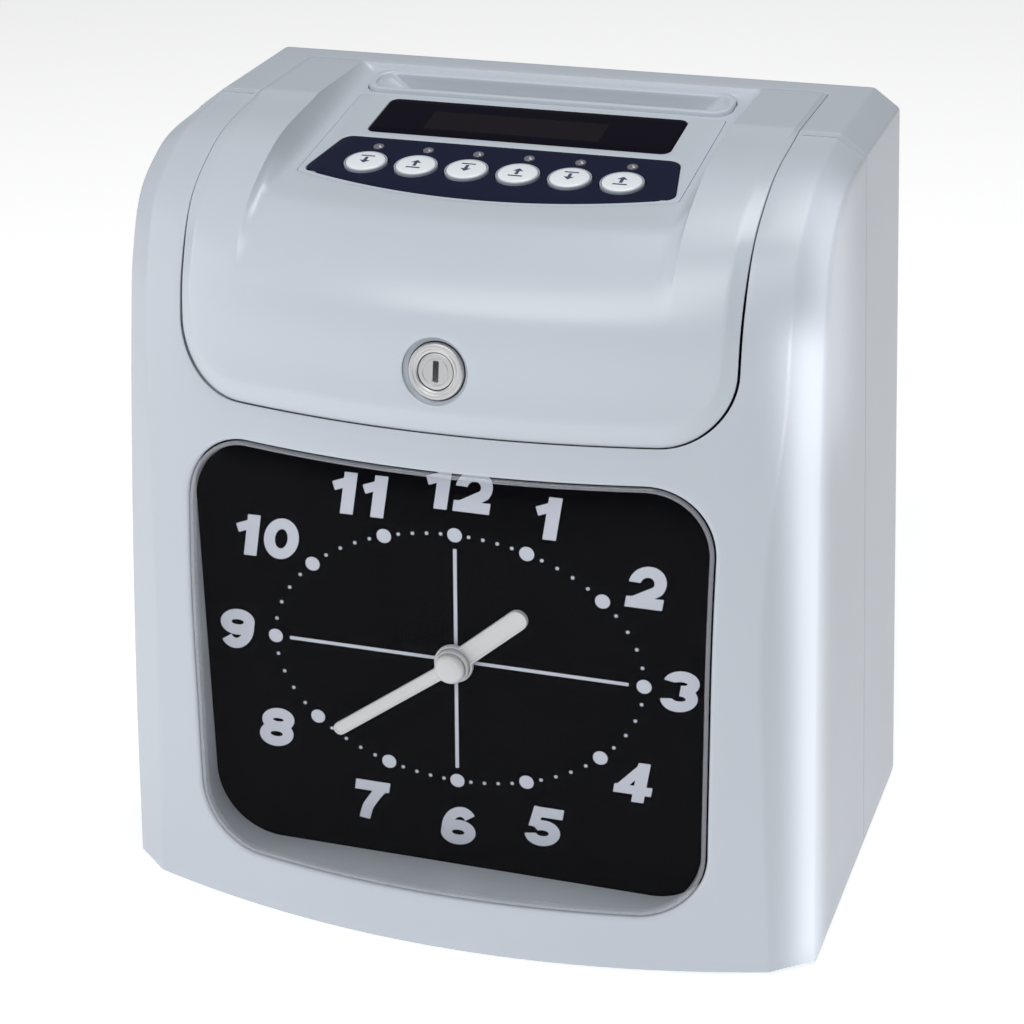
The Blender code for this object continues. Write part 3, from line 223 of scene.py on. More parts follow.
def inside(points, loop):
    """Which points lie inside the closed outline."""
    x, y = points[:, 0][:, None], points[:, 1][:, None]
    ax, ay = loop[:, 0], loop[:, 1]
    bx, by = np.roll(ax, -1), np.roll(ay, -1)
    crosses = (ay > y) != (by > y)
    rise = np.where(by == ay, 1e-12, by - ay)
    return np.sum(crosses & (x < (bx - ax) * (y - ay) / rise + ax), 1) % 2 == 1


def clearance(points, loop):
    """Distance of each point from the closed outline."""
    a, b = loop, np.roll(loop, -1, 0)
    along = b - a
    t = np.sum((points[:, None] - a) * along, 2) / np.maximum(np.sum(along**2, 1), 1e-12)
    nearest = a + along * np.clip(t, 0, 1)[..., None]
    return np.min(np.linalg.norm(points[:, None] - nearest, axis=2), 1)


def patch(loops, grid, mapping, gap=1.2):
    """Triangles over the first outline less the others, taken to 3-D by mapping(points, drops).

    Each loop is (outline, rings): the material lies on the outline's left, and rings are
    (distance in from the outline, drop below the surface) pairs that shape its edge.
    """
    flat, drops, faces, borders = [], [], [], []
    for outline, rings in loops:
        outline = np.asarray(outline, float)
        count = len(outline)
        for k, (distance, drop) in enumerate(rings):
            start = len(flat)
            flat += list(offset(outline, distance))
            drops += list(np.broadcast_to(drop, (count,)))
            if k:
                for i in range(count):
                    j = (i + 1) % count
                    faces.append((start - count + i, start - count + j, start + j, start + i))
        borders.append(np.arange(start, start + count))
    all_flat = np.array(flat)
    outer, holes = borders[0], borders[1:]
    keep = inside(grid, all_flat[outer]) & (clearance(grid, all_flat[outer]) > gap)
    for hole in holes:
        keep &= ~inside(grid, all_flat[hole]) & (clearance(grid, all_flat[hole]) > gap)
    fill = grid[keep]
    start = len(flat)
    flat += list(fill)
    drops += [0.0] * len(fill)
    all_flat = np.array(flat)
    used = np.concatenate(borders + [np.arange(start, len(flat))])
    edges, at = [], 0
    for border in borders:
        n = len(border)
        edges += [(at + i, at + (i + 1) % n) for i in range(n)]
        at += n
    found = geometry.delaunay_2d_cdt([Vector(p) for p in all_flat[used]], edges, [], 0, 1e-5)
    new_points, triangles, origins = np.array([tuple(p) for p in found[0]]), found[2], found[3]
    index = []
    for k, origin in enumerate(origins):
        if origin:
            index.append(int(used[origin[0]]))
        else:
            index.append(len(flat))
            flat.append(new_points[k])
            drops.append(0.0)
    centres = np.array([new_points[list(t)].mean(0) for t in triangles])
    keep = inside(centres, all_flat[outer])
    for hole in holes:
        keep &= ~inside(centres, all_flat[hole])
    for triangle, kept in zip(triangles, keep):
        if kept:
            faces.append(tuple(index[i] for i in triangle))
    return mapping(np.array(flat), np.array(drops, float)), faces


def grid_points(xs, ys):
    """Every pairing of the xs with the ys."""
    mesh = np.meshgrid(xs, ys)
    return np.stack([mesh[0].ravel(), mesh[1].ravel()], 1)


def lip(radius, steps=4):
    """Rings that round an edge over with a quarter circle."""
    rings = []
    for k in range(steps + 1):
        angle = math.radians(90 * k / steps)
        rings.append((radius * (1 - math.cos(angle)), radius * (1 - math.sin(angle))))
    return rings


def lathe(profile, segments=64):
    """Rings of (radius, height) points turned about local Z, closed where the radius is 0."""
    verts, faces, rings = [], [], []
    angles = 2 * math.pi * np.arange(segments) / segments
    for radius, height in profile:
        start = len(verts)
        if radius == 0:
            verts.append((0, 0, height))
            rings.append([start] * segments)
            continue
        verts += [(radius * math.cos(a), radius * math.sin(a), height) for a in angles]
        rings.append(list(range(start, start + segments)))
    for lower, upper in zip(rings, rings[1:]):
        for i in range(segments):
            j = (i + 1) % segments
            face = []
            for index in (lower[i], lower[j], upper[j], upper[i]):
                if index not in face:
                    face.append(index)
            faces.append(tuple(face))
    return np.array(verts, float), faces


def turned(verts, matrix):
    """Points taken through a matrix given in the clock's own axes."""
    matrix = np.array(matrix)
    return np.asarray(verts, float) @ matrix[:3, :3].T + matrix[:3, 3]


def round_profile(points, radius, steps=4):
    """A (radius, height) line with its inner corners rounded."""
    points = [Vector(p) for p in points]
    out = [points[0]]
    for before, corner, after in zip(points, points[1:], points[2:]):
        reach = min(radius, (before - corner).length * 0.45, (after - corner).length * 0.45)
        a = corner + (before - corner).normalized() * reach
        b = corner + (after - corner).normalized() * reach
        for k in range(steps + 1):
            t = k / steps
            out.append(a * (1 - t) ** 2 + corner * 2 * t * (1 - t) + b * t**2)
    out.append(points[-1])
    return [tuple(p) for p in out]


# ---------------------------------------------------------------- the case's outer surface

def smooth_curve(points, steps):
    """Points along a cubic curve through the given points, steps to each span."""
    knots = [np.array(p, float) for p in points]
    lengths = [np.linalg.norm(b - a) for a, b in zip(knots, knots[1:])]
    slopes = [(knots[1] - knots[0]) / lengths[0]]
    for i in range(1, len(knots) - 1):
        before = (knots[i] - knots[i - 1]) / lengths[i - 1]
        after = (knots[i + 1] - knots[i]) / lengths[i]
        total = lengths[i - 1] + lengths[i]
        slopes.append((before * lengths[i] + after * lengths[i - 1]) / total)
    slopes.append((knots[-1] - knots[-2]) / lengths[-1])
    curve = []
    for i, length in enumerate(lengths):
        for k in range(steps):
            t = k / steps
            curve.append(knots[i] * (2 * t**3 - 3 * t**2 + 1)
                         + slopes[i] * length * (t**3 - 2 * t**2 + t)
                         + knots[i + 1] * (3 * t**2 - 2 * t**3)
                         + slopes[i + 1] * length * (t**3 - t**2))
    curve.append(knots[-1])
    return np.array(curve)


CORNER = smooth_curve(FRONT_CORNER, ROWS_PER_SPAN)
SIDE = smooth_curve(SIDE_EDGE, ROWS_PER_SPAN)
CORNER[:, 1] = np.minimum(CORNER[:, 1], SEAM_Y)
SIDE[:, 0] = np.minimum(SIDE[:, 0], SEAM_Y)
# How far up the front each row lies, measured along the middle of the case
REACH = np.concatenate([[0], np.cumsum(np.hypot(np.diff(CORNER[:, 1]), np.diff(CORNER[:, 2])))])
TOP_REACH = REACH[-1]
STRENGTH = np.clip((CASE_TOP - CORNER[:, 2]) / BOW_FADE, 0, 1) ** 0.6
SIDE_TANGENT = np.gradient(SIDE, axis=0)
SIDE_TANGENT /= np.linalg.norm(SIDE_TANGENT, axis=1, keepdims=True)

# Stations of the developed width: bowed front, corner crease, chamfer, side crease
ARC_END, CORNER_END, CHAMFER_END, SIDE_END = 92.0, 93.6, 105.0, 106.6
CREASES = np.concatenate([np.linspace(ARC_END, CORNER_END, 5),
                          np.linspace(CORNER_END, CHAMFER_END, 4)[1:],
                          np.linspace(CHAMFER_END, SIDE_END, 6)[1:]])


def side_x(z):
    """The side wall's x at a height."""
    return BASE_HALF_WIDTH - SIDE_TAPER * z


def row_value(values, reach):
    """A value kept for each row of the front, at any reach."""
    return np.interp(reach, REACH, values)


def reach_at(z):
    """How far up the front a height lies."""
    return np.interp(z, CORNER[:, 2], REACH)


def bezier(a, b, c, t):
    t = t[:, None]
    return a * (1 - t) ** 2 + b * 2 * t * (1 - t) + c * t**2


def unit(v):
    return v / np.maximum(np.linalg.norm(v, axis=1, keepdims=True), 1e-12)


def arc_x(width, reach):
    """x on the bowed front for a developed width."""
    return width / ARC_END * (row_value(CORNER[:, 0], reach) - CREASE)


def width_at(x, reach):
    """The developed width of an x on the bowed front."""
    return x * ARC_END / (row_value(CORNER[:, 0], reach) - CREASE)


def on_bow(x, reach):
    """Point of the bowed front at x."""
    corner_x = row_value(CORNER[:, 0], reach)
    bow = BOW * (1 - (x / corner_x) ** 2) * row_value(STRENGTH, reach)
    return np.stack([x, row_value(CORNER[:, 1], reach) - bow, row_value(CORNER[:, 2], reach)], 1)


def surface(width, reach):
    """Point of the front case for a developed width of 0 or more and a reach up the front."""
    corner = np.stack([row_value(CORNER[:, k], reach) for k in range(3)], 1)
    side_y, side_z = row_value(SIDE[:, 0], reach), row_value(SIDE[:, 1], reach)
    edge = np.stack([side_x(side_z), side_y, side_z], 1)
    across = unit(edge - corner)
    tangent_y = row_value(SIDE_TANGENT[:, 0], reach)
    tangent_z = row_value(SIDE_TANGENT[:, 1], reach)
    down = np.stack([SIDE_TAPER * tangent_y, tangent_z, -tangent_y], 1)
    arc_stop = on_bow(corner[:, 0] - CREASE, reach)
    chamfer_start, chamfer_stop = corner + across * CREASE, edge - across * CREASE
    wall_start = edge + down * CREASE
    wall_start[:, 1] = np.minimum(wall_start[:, 1], SEAM_Y)
    point = on_bow(arc_x(np.minimum(width, ARC_END), reach), reach)
    for low, high, value in (
            (ARC_END, CORNER_END, lambda t: bezier(arc_stop, corner, chamfer_start, t)),
            (CORNER_END, CHAMFER_END,
             lambda t: chamfer_start + (chamfer_stop - chamfer_start) * t[:, None]),
            (CHAMFER_END, SIDE_END, lambda t: bezier(chamfer_stop, edge, wall_start, t))):
        chosen = width > low
        t = np.clip((width - low) / (high - low), 0, 1)
        point[chosen] = value(t)[chosen]
    return point


def mirrored_surface(width, reach):
    point = surface(np.abs(width), reach)
    point[:, 0] *= np.sign(width) + (width == 0)
    return point


def normals_of(function, a, b, step=0.05):
    """Outward normals of a surface that runs to the right along a and up along b."""
    along_a = function(a + step, b) - function(a - step, b)
    along_b = function(a, b + step) - function(a, b - step)
    return unit(np.cross(along_a, along_b))


def case_point(flat, drops):
    """Points of the front case at (developed width, reach), sunk by the drops."""
    width = np.clip(flat[:, 0], -SIDE_END, SIDE_END)
    reach = np.clip(flat[:, 1], 0, TOP_REACH)
    inner_width = np.clip(width, -SIDE_END + 0.06, SIDE_END - 0.06)
    inner_reach = np.clip(reach, 0.06, TOP_REACH - 0.06)
    normal = normals_of(mirrored_surface, inner_width, inner_reach)
    ends = np.abs(width) > SIDE_END - 0.01
    flat_normal = np.stack([np.sign(width), 0 * width, SIDE_TAPER + 0 * width], 1)
    normal[ends] = unit(flat_normal)[ends]
    low = reach < 0.01
    normal[low, 2] = 0
    point = mirrored_surface(width, reach) - unit(normal) * drops[:, None]
    point[:, 1] = np.minimum(point[:, 1], SEAM_Y - SEAM_GAP)
    return point


# ---------------------------------------------------------------- materials

def new_material(name):
    mat = bpy.data.materials.new(name)
    mat.use_nodes = True
    return mat, mat.node_tree, mat.node_tree.nodes["Principled BSDF"]


def texture(tree, kind, scale, detail=2.0, stretch=(1, 1, 1), **inputs):
    """A procedural texture on the piece's own coordinates."""
    coords = tree.nodes.new("ShaderNodeTexCoord")
    mapping = tree.nodes.new("ShaderNodeMapping")
    mapping.inputs["Scale"].default_value = stretch
    tree.links.new(coords.outputs["Object"], mapping.inputs["Vector"])
    node = tree.nodes.new(kind)
    node.inputs["Scale"].default_value = scale
    if "Detail" in node.inputs:
        node.inputs["Detail"].default_value = detail
    for key, value in inputs.items():
        node.inputs[key].default_value = value
    tree.links.new(mapping.outputs["Vector"], node.inputs["Vector"])
    return node


def factor_of(node):
    return node.outputs["Fac"] if "Fac" in node.outputs else node.outputs["Distance"]


def spread(tree, node, low, high):
    """The texture's value spread between two numbers."""
    ramp = tree.nodes.new("ShaderNodeMapRange")
    ramp.inputs["To Min"].default_value = low
    ramp.inputs["To Max"].default_value = high
    tree.links.new(factor_of(node), ramp.inputs["Value"])
    return ramp.outputs["Result"]


def tint(tree, node, colour_a, colour_b, low=0.1, high=0.9):
    """The texture's value as a colour between two."""
    ramp = tree.nodes.new("ShaderNodeValToRGB")
    ramp.color_ramp.elements[0].position = low
    ramp.color_ramp.elements[1].position = high
    ramp.color_ramp.elements[0].color = (*colour_a, 1)
    ramp.color_ramp.elements[1].color = (*colour_b, 1)
    tree.links.new(factor_of(node), ramp.inputs["Fac"])
    return ramp.outputs["Color"]


def bumps(tree, shader, *layers):
    """Stack (texture, depth in metres) layers as bump on the shader."""
    previous = None
    for node, depth in layers:
        bump = tree.nodes.new("ShaderNodeBump")
        bump.inputs["Strength"].default_value = 1.0
        bump.inputs["Distance"].default_value = depth
        tree.links.new(factor_of(node), bump.inputs["Height"])
        if previous:
            tree.links.new(previous.outputs["Normal"], bump.inputs["Normal"])
        previous = bump
    tree.links.new(previous.outputs["Normal"], shader.inputs["Normal"])


def scaled(colour, factor):
    return tuple(min(1.0, c * factor) for c in colour)


def moulded(name, colour, roughness, grain_depth=0.000004, variation=0.02, grain_scale=1800,
            spread_of_gloss=0.03, coat=0.0, specular=0.5, ior=1.5):
    """Moulded plastic: fine spark-eroded grain, faint flow marks and uneven gloss."""
    mat, tree, shader = new_material(name)
    grain = texture(tree, "ShaderNodeTexNoise", grain_scale, 3.0)
    cloud = texture(tree, "ShaderNodeTexNoise", 14, 3.0)
    smear = texture(tree, "ShaderNodeTexNoise", 25, 2.0)
    tree.links.new(tint(tree, cloud, scaled(colour, 1 - variation), scaled(colour, 1 + variation)),
                   shader.inputs["Base Color"])
    tree.links.new(spread(tree, smear, roughness - spread_of_gloss, roughness + spread_of_gloss),
                   shader.inputs["Roughness"])
    shader.inputs["Coat Weight"].default_value = coat
    shader.inputs["Coat Roughness"].default_value = 0.2
    shader.inputs["Specular IOR Level"].default_value = specular
    shader.inputs["IOR"].default_value = ior
    bumps(tree, shader, (grain, grain_depth))
    return mat


def metal(name, colour, roughness, stretch=(1, 1, 1), scale=900, depth=0.000004, streak=0.08):
    """Worked metal: grain drawn out along one direction and uneven polish."""
    mat, tree, shader = new_material(name)
    brushing = texture(tree, "ShaderNodeTexNoise", scale, 4.0, stretch)
    tarnish = texture(tree, "ShaderNodeTexNoise", 90, 5.0)
    tree.links.new(tint(tree, tarnish, scaled(colour, 0.86), scaled(colour, 1.06)),
                   shader.inputs["Base Color"])
    tree.links.new(spread(tree, brushing, roughness - streak, roughness + streak),
                   shader.inputs["Roughness"])
    shader.inputs["Metallic"].default_value = 1.0
    bumps(tree, shader, (brushing, depth))
    return mat


def clear(name, colour, alpha, roughness):
    """Clear plastic; its see-through share is one plain number."""
    mat, tree, shader = new_material(name)
    haze = texture(tree, "ShaderNodeTexNoise", 40, 1.0)
    shader.inputs["Base Color"].default_value = (*colour, 1)
    tree.links.new(spread(tree, haze, roughness, roughness + 0.04), shader.inputs["Roughness"])
    shader.inputs["Alpha"].default_value = alpha
    shader.inputs["IOR"].default_value = 1.49
    shader.inputs["Specular IOR Level"].default_value = 0.9
    bumps(tree, shader, (haze, 0.000004))
    return mat


def circuit(name):
    """Green solder mask over a pattern of tracks."""
    mat, tree, shader = new_material(name)
    tracks = texture(tree, "ShaderNodeTexBrick", 90)
    tracks.inputs["Color1"].default_value = (0.012, 0.11, 0.045, 1)
    tracks.inputs["Color2"].default_value = (0.016, 0.13, 0.055, 1)
    tracks.inputs["Mortar"].default_value = (0.03, 0.24, 0.10, 1)
    tracks.inputs["Mortar Size"].default_value = 0.05
    tree.links.new(tracks.outputs["Color"], shader.inputs["Base Color"])
    mask = texture(tree, "ShaderNodeTexNoise", 500, 2.0)
    tree.links.new(spread(tree, mask, 0.3, 0.45), shader.inputs["Roughness"])
    bumps(tree, shader, (tracks, 0.00004), (mask, 0.000006))
    return mat


def banded(name, colour_a, colour_b, scale, direction, roughness, depth, metallic=0.0):
    """A material built of layers, such as core laminations or a woven ribbon."""
    mat, tree, shader = new_material(name)
    bands = texture(tree, "ShaderNodeTexWave", scale, 1.0)
    bands.bands_direction = direction
    grime = texture(tree, "ShaderNodeTexNoise", 300, 3.0)
    tree.links.new(tint(tree, bands, colour_a, colour_b, 0.2, 0.8), shader.inputs["Base Color"])
    tree.links.new(spread(tree, grime, roughness - 0.08, roughness + 0.08),
                   shader.inputs["Roughness"])
    shader.inputs["Metallic"].default_value = metallic
    bumps(tree, shader, (bands, depth), (grime, 0.00001))
    return mat


CASE = moulded("case_plastic", (0.535, 0.58, 0.64), 0.36, 0.000006)
COVER = moulded("cover_plastic", (0.55, 0.605, 0.665), 0.30, 0.000004, coat=0.15)
DIAL = moulded("dial_black", (0.002, 0.002, 0.003), 0.5, 0.000003, 0.1, ior=1.03)
INK = moulded("dial_print", (0.57, 0.60, 0.68), 0.55, 0.000003, specular=0.1)
HAND = moulded("hand_white", (0.66, 0.665, 0.68), 0.32, 0.000003)
WINDOW = moulded("display_black", (0.006, 0.005, 0.011), 0.14, 0.0000005, 0.10, ior=1.1)
LCD = moulded("display_lcd", (0.014, 0.011, 0.015), 0.25, 0.000001, 0.2, ior=1.1)
NAVY = moulded("keypad_navy", (0.011, 0.014, 0.036), 0.42, 0.000004, 0.08, ior=1.16)
BEZEL = moulded("button_ring", (0.36, 0.40, 0.46), 0.3, 0.000002)
KEY = moulded("button_white", (0.86, 0.90, 0.94), 0.28, 0.000002, coat=0.2)
LEGEND = moulded("legend_ink", (0.05, 0.07, 0.13), 0.5, 0.000002)
LED = moulded("led_lens", (0.17, 0.17, 0.19), 0.16, 0.000001, 0.1, coat=0.5)
BLACK = moulded("black_plastic", (0.022, 0.022, 0.025), 0.48, 0.00001, 0.12)
NYLON = moulded("nylon", (0.70, 0.69, 0.64), 0.45, 0.00001)
RUBBER = moulded("rubber", (0.025, 0.025, 0.026), 0.8, 0.00003, 0.15, 900)
STEEL = metal("steel", (0.56, 0.57, 0.59), 0.28, (0.05, 1, 1))
ZINC = metal("zinc_sheet", (0.62, 0.63, 0.65), 0.40, (1, 1, 0.12), 500)
CHROME = metal("satin_chrome", (0.66, 0.66, 0.67), 0.45, (1, 1, 1), 1400, 0.0000008, 0.03)
BRASS = metal("brass", (0.72, 0.54, 0.24), 0.27, (1, 0.1, 1))
PLATE_CLEAR = clear("lens_clear", (0.03, 0.03, 0.04), 0.05, 0.02)
# The lens rim's pale milky tint is painted sheen: the real rim is clear, and the tint stands in for
# the light its edges catch.
RIM_PAINTED_SHEEN = clear("lens_rim", (0.62, 0.64, 0.70), 0.36, 0.06)
CIRCUIT = circuit("circuit_green")
IRON = banded("core_laminations", (0.07, 0.07, 0.08), (0.15, 0.15, 0.17), 260, "X", 0.5,
              0.00015, 0.6)
RIBBON = banded("ribbon_weave", (0.02, 0.008, 0.035), (0.05, 0.02, 0.08), 900, "DIAGONAL", 0.8,
                0.00004)


# ---------------------------------------------------------------- case shells

def thicken(obj, thickness):
    """Give a piece's surface a wall of one thickness behind it."""
    shell = obj.modifiers.new("wall", "SOLIDIFY")
    shell.thickness = thickness * MM
    shell.offset = -1
    solid = bpy.data.meshes.new_from_object(
        obj.evaluated_get(bpy.context.evaluated_depsgraph_get()))
    obj.modifiers.clear()
    obj.data = solid
    solid.set_sharp_from_angle(angle=SHARP_ANGLE)


def window_loop(grow):
    low = (LENS_LOW.x - grow, LENS_LOW.z - grow)
    high = (LENS_HIGH.x + grow, LENS_HIGH.z + grow)
    return rounded(low, high, WINDOW_RADIUS + grow, 2.2, 18)


def developed(loop):
    """An outline given as (x, z) in the developed widths and reaches of the front."""
    reach = reach_at(loop[:, 1])
    return np.stack([width_at(loop[:, 0], reach), reach], 1)


def build_front_case():
    """Bowed front with its chamfers and sides, the cover's opening and the clock's recess."""
    edge = COVER_HIGH.x + COVER_GAP
    bottom = COVER_LOW.z - COVER_GAP
    radius = COVER_RADIUS + COVER_GAP
    reaches = np.concatenate([[0, 0.9], np.linspace(3, TOP_REACH - 2.4, 100),
                              [TOP_REACH - 0.9, TOP_REACH]])
    front = np.linspace(-ARC_END, ARC_END, 61)[1:-1]
    columns = np.concatenate([-CREASES[::-1], front, CREASES])
    right = np.stack([0 * reaches + SIDE_END, reaches], 1)
    edge_reaches = reaches[reaches > reach_at(bottom + radius) + 1.5]
    rise = np.stack([width_at(edge, edge_reaches), edge_reaches], 1)
    corner = arc((edge - radius, bottom + radius), radius, -90, 0, 18)
    floor = grid_points(np.linspace(0, edge - radius, 26), [bottom])[:-1]
    half = developed(np.concatenate([floor, corner]))
    opening = np.concatenate([half, rise])            # from the middle, round and up
    outside = columns[columns > opening[-1, 0] + 1.0]
    top = np.stack([outside, 0 * outside + TOP_REACH], 1)
    across = np.stack([columns, 0 * columns], 1)
    flip = np.array([-1, 1])
    loop = np.concatenate([across, right[1:-1], top[::-1], opening[:0:-1], opening * flip,
                           top * flip, (right * flip)[-2:0:-1]])
    on_side = np.abs(np.abs(loop[:, 0]) - SIDE_END) < 1e-6
    held = on_side & (loop[:, 1] > 0.5) & (loop[:, 1] < TOP_REACH - 0.5)
    rings = [(np.where(held, 0.0, distance)[:, None], np.where(held, 0.0, drop))
             for distance, drop in lip(SEAM_LIP)]
    recess = window_loop(LENS_GAP)[::-1]
    at_dial = 30.0                          # stands for the ring at the recess's far end
    loops = [(loop, rings), (developed(recess), [(0.0, at_dial)] + lip(WINDOW_LIP, 5))]

    def mapping(flat, drops):
        deep = drops == at_dial
        point = case_point(flat, np.where(deep, WINDOW_LIP, drops))
        share = np.clip((DIAL_Z - recess[:, 1]) / (DIAL_Z - LENS_LOW.z), 0, 1)
        point[deep, 0] = recess[:, 0]
        point[deep, 1] = DIAL_Y - 0.3
        point[deep, 2] = recess[:, 1] - WINDOW_DROOP * share
        return point

    shell = patch(loops, grid_points(columns, reaches), mapping)
    drops = np.where((reaches < 0.5) | (reaches > TOP_REACH - 0.5), SEAM_LIP, 0.0)
    wall_edge = case_point(right, drops)
    walls = [side_wall(wall_edge * (side, 1, 1), side) for side in (-1, 1)]
    verts, faces = merge(shell, *walls, bottom_plate(across))
    thicken(add_mesh("front_case_shell", verts, faces, CASE, "case", ["front_case"],
                     "case_plastic"), WALL)


def side_wall(edge_line, side):
    """The flat side of the front case, rounded over at the seam and the underside."""
    seam = SEAM_Y - SEAM_GAP
    low, high = edge_line[0, 1], edge_line[-1, 2]
    along = np.linspace(low, seam, 20)
    up = np.linspace(0, high, 39)[1:]
    outline = np.concatenate([np.stack([along, 0 * along], 1), np.stack([0 * up + seam, up], 1),
                              edge_line[-2:0:-1, 1:]])
    free = np.arange(len(outline)) < len(along) + len(up)      # the side edge keeps its place
    free[0] = True
    rings = [(np.where(free, distance, 0.0)[:, None], np.where(free, drop, 0.0))
             for distance, drop in lip(SEAM_LIP)]

    def mapping(flat, drops):
        y, z = flat[:, 0], flat[:, 1]
        return np.stack([side * (side_x(z) - drops), y, z], 1)

    grid = grid_points(np.linspace(-115, -53, 16), np.linspace(4, high - 4, 40))
    return patch([(outline, rings)], grid, mapping, 2.0)


def bottom_plate(across):
    """The underside of the front case, inside its rounded edge."""
    line = case_point(across, np.full(len(across), SEAM_LIP))
    inner, seam = BASE_HALF_WIDTH - SEAM_LIP, SEAM_Y - SEAM_GAP
    verts = [(x, y, 0.0) for x, y, _ in line] + [(inner, seam, 0.0), (-inner, seam, 0.0)]
    return verts, [tuple(range(len(verts)))]


def housing_profile():
    """The rear housing's cross-section in (x, z), from the lower right over to the lower left."""
    notch = width_at(COVER_HIGH.x + COVER_GAP, TOP_REACH)
    top = np.concatenate([np.linspace(-notch, notch, 41), [notch + 2.2]])
    widths = np.concatenate([CREASES[::-1], top[::-1], [-notch - 2.2], -CREASES])
    over = mirrored_surface(widths, np.full(len(widths), TOP_REACH))[:, [0, 2]]
    z = np.linspace(0, over[0, 1], 42)[:-1]
    right = np.stack([side_x(z), z], 1)
    return np.concatenate([right, over, right[::-1] * (-1, 1)])


def housing_holes():
    """Clockwise outlines in (x, z) of the openings in the back wall."""
    holes = [rounded(INLET_LOW - 0.3, INLET_HIGH + 0.3, 1.3, 4, 5)[::-1]]
    for side in (-1, 1):
        wide = arc((side * KEYHOLE_X, KEYHOLE_Z), KEYHOLE_RADIUS, -240, 60, 36)
        rise = arc((side * KEYHOLE_X, KEYHOLE_Z + KEYHOLE_RISE), KEYHOLE_SLOT, 0, 180, 18)
        holes.append(np.concatenate([wide, rise])[::-1])
    for x, z in SCREW_PLACES:
        holes.append(arc((x, z), SCREW_RADIUS + 0.3, 360, 15, 23))
    return holes


def build_rear_housing():
    """Rear half: its wrapped walls with the cover's notch, the back wall and the underside."""
    profile = housing_profile()
    run = np.concatenate([[0], np.cumsum(np.linalg.norm(np.diff(profile, axis=0), axis=1))])
    notch_x, notch_y = COVER_HIGH.x + COVER_GAP, HINGE_Y - 5.8
    on_top = profile[:, 1] > CASE_TOP - 0.01
    inner = on_top & (np.abs(profile[:, 0]) <= notch_x + 0.01)
    first, last = np.flatnonzero(inner)[[0, -1]]
    seam = SEAM_Y + SEAM_GAP
    back_lip = 1.2
    rise = np.linspace(seam, notch_y, 14)[1:-1]
    back = np.linspace(seam, 0, 17)[1:-1]
    loop = np.concatenate([
        np.stack([run[:first + 1], np.full(first + 1, seam)], 1),
        np.stack([np.full(len(rise), run[first]), rise], 1),
        np.stack([run[first:last + 1], np.full(last - first + 1, notch_y)], 1),
        np.stack([np.full(len(rise), run[last]), rise[::-1]], 1),
        np.stack([run[last:], np.full(len(run) - last, seam)], 1),
        np.stack([np.full(len(back), run[-1]), back], 1),
        np.stack([run[::-1], 0 * run], 1),
        np.stack([0 * back, back[::-1]], 1)])
    radii = np.where(loop[:, 1] > -0.01, back_lip, SEAM_LIP)
    rings = [((radii * distance)[:, None], radii * drop) for distance, drop in lip(1.0)]

    def across(s):
        s = np.clip(s, 0, run[-1])
        return np.stack([np.interp(s, run, profile[:, 0]), np.interp(s, run, profile[:, 1])], 1)

    def mapping(flat, drops):
        s = np.clip(flat[:, 0], 0.1, run[-1] - 0.1)
        along = unit(across(s + 0.1) - across(s - 0.1))
        point = across(flat[:, 0]) - np.stack([along[:, 1], -along[:, 0]], 1) * drops[:, None]
        return np.stack([point[:, 0], flat[:, 1], point[:, 1]], 1)

    grid = grid_points(run, np.linspace(seam + 2, -2.5, 20))
    shell = patch([(loop, rings)], grid, mapping)

    edge = mapping(np.stack([run, 0 * run], 1), np.full(len(run), back_lip))
    outline = np.concatenate([edge[:, [0, 2]],
                              np.stack([np.linspace(edge[-1, 0], edge[0, 0], 40)[1:-1],
                                        np.zeros(38)], 1)])
    holes = [(hole, lip(0.5, 3)) for hole in housing_holes()]
    wall = patch([(outline, [(0, 0.0)])] + holes,
                 grid_points(np.linspace(-104, 104, 42), np.linspace(4, 226, 45)),
                 lambda flat, drops: np.stack([flat[:, 0], -drops, flat[:, 1]], 1), 1.5)
    low = BASE_HALF_WIDTH - SEAM_LIP
    floor = ([(low, seam, 0), (low, 0, 0), (-low, 0, 0), (-low, seam, 0)], [(0, 1, 2, 3)])
    verts, faces = merge(shell, wall, floor)
    thicken(add_mesh("rear_housing_shell", verts, faces, CASE, "case", ["rear_housing"]), WALL)


def build_feet():
    """The four round rubber pads."""
    profile = [(0, 0), (5.4, 0), (5.4, 0.5), (FOOT_RADIUS - 0.9, 0.5), (FOOT_RADIUS - 0.3, 0.25),
               (FOOT_RADIUS, 0.9), (FOOT_RADIUS, 1.9), (0, 1.9)]
    for depth in ("front", "rear"):
        for side in ("left", "right"):
            node = f"foot_{depth}_{side}"
            low, high = case_box(node)
            middle = (low + high) / 2
            verts, faces = lathe(round_profile(profile, 0.25), 48)
            verts = verts + (middle.x, middle.y, low.z)
            add_mesh(f"{node}_pad", verts, faces, RUBBER, "case", [node], "rubber")


def build_screws():
    """Recessed screw heads with a cross slot."""
    arm, half = 0.95, 0.24
    cross = np.array([(half, half), (half, arm), (-half, arm), (-half, half), (-arm, half),
                      (-arm, -half), (-half, -half), (-half, -arm), (half, -arm), (half, -half),
                      (arm, -half), (arm, half)])
    for number in range(1, 5):
        node = f"case_screw_{number}"
        low, high = case_box(node)
        x, z = (low.x + high.x) / 2, (low.z + high.z) / 2
        radius = (high.x - low.x) / 2
        rim = arc((0, 0), radius, 0, 345, 23)
        head = patch([(rim, [(0, 5.0)] + lip(0.35, 3)), (cross[::-1], [(0, 0.9), (0, 0)])],
                     grid_points([0.0], [0.0]),
                     lambda flat, drops: np.stack([flat[:, 0] + x, high.y - drops,
                                                   flat[:, 1] + z], 1), 0.1)
        slot_floor = ([(x + a, high.y - 0.9, z + b) for a, b in cross], [tuple(range(12))])
        verts, faces = merge(head, slot_floor)
        add_mesh(f"{node}_head", verts, faces, STEEL, "case", [node], "steel")


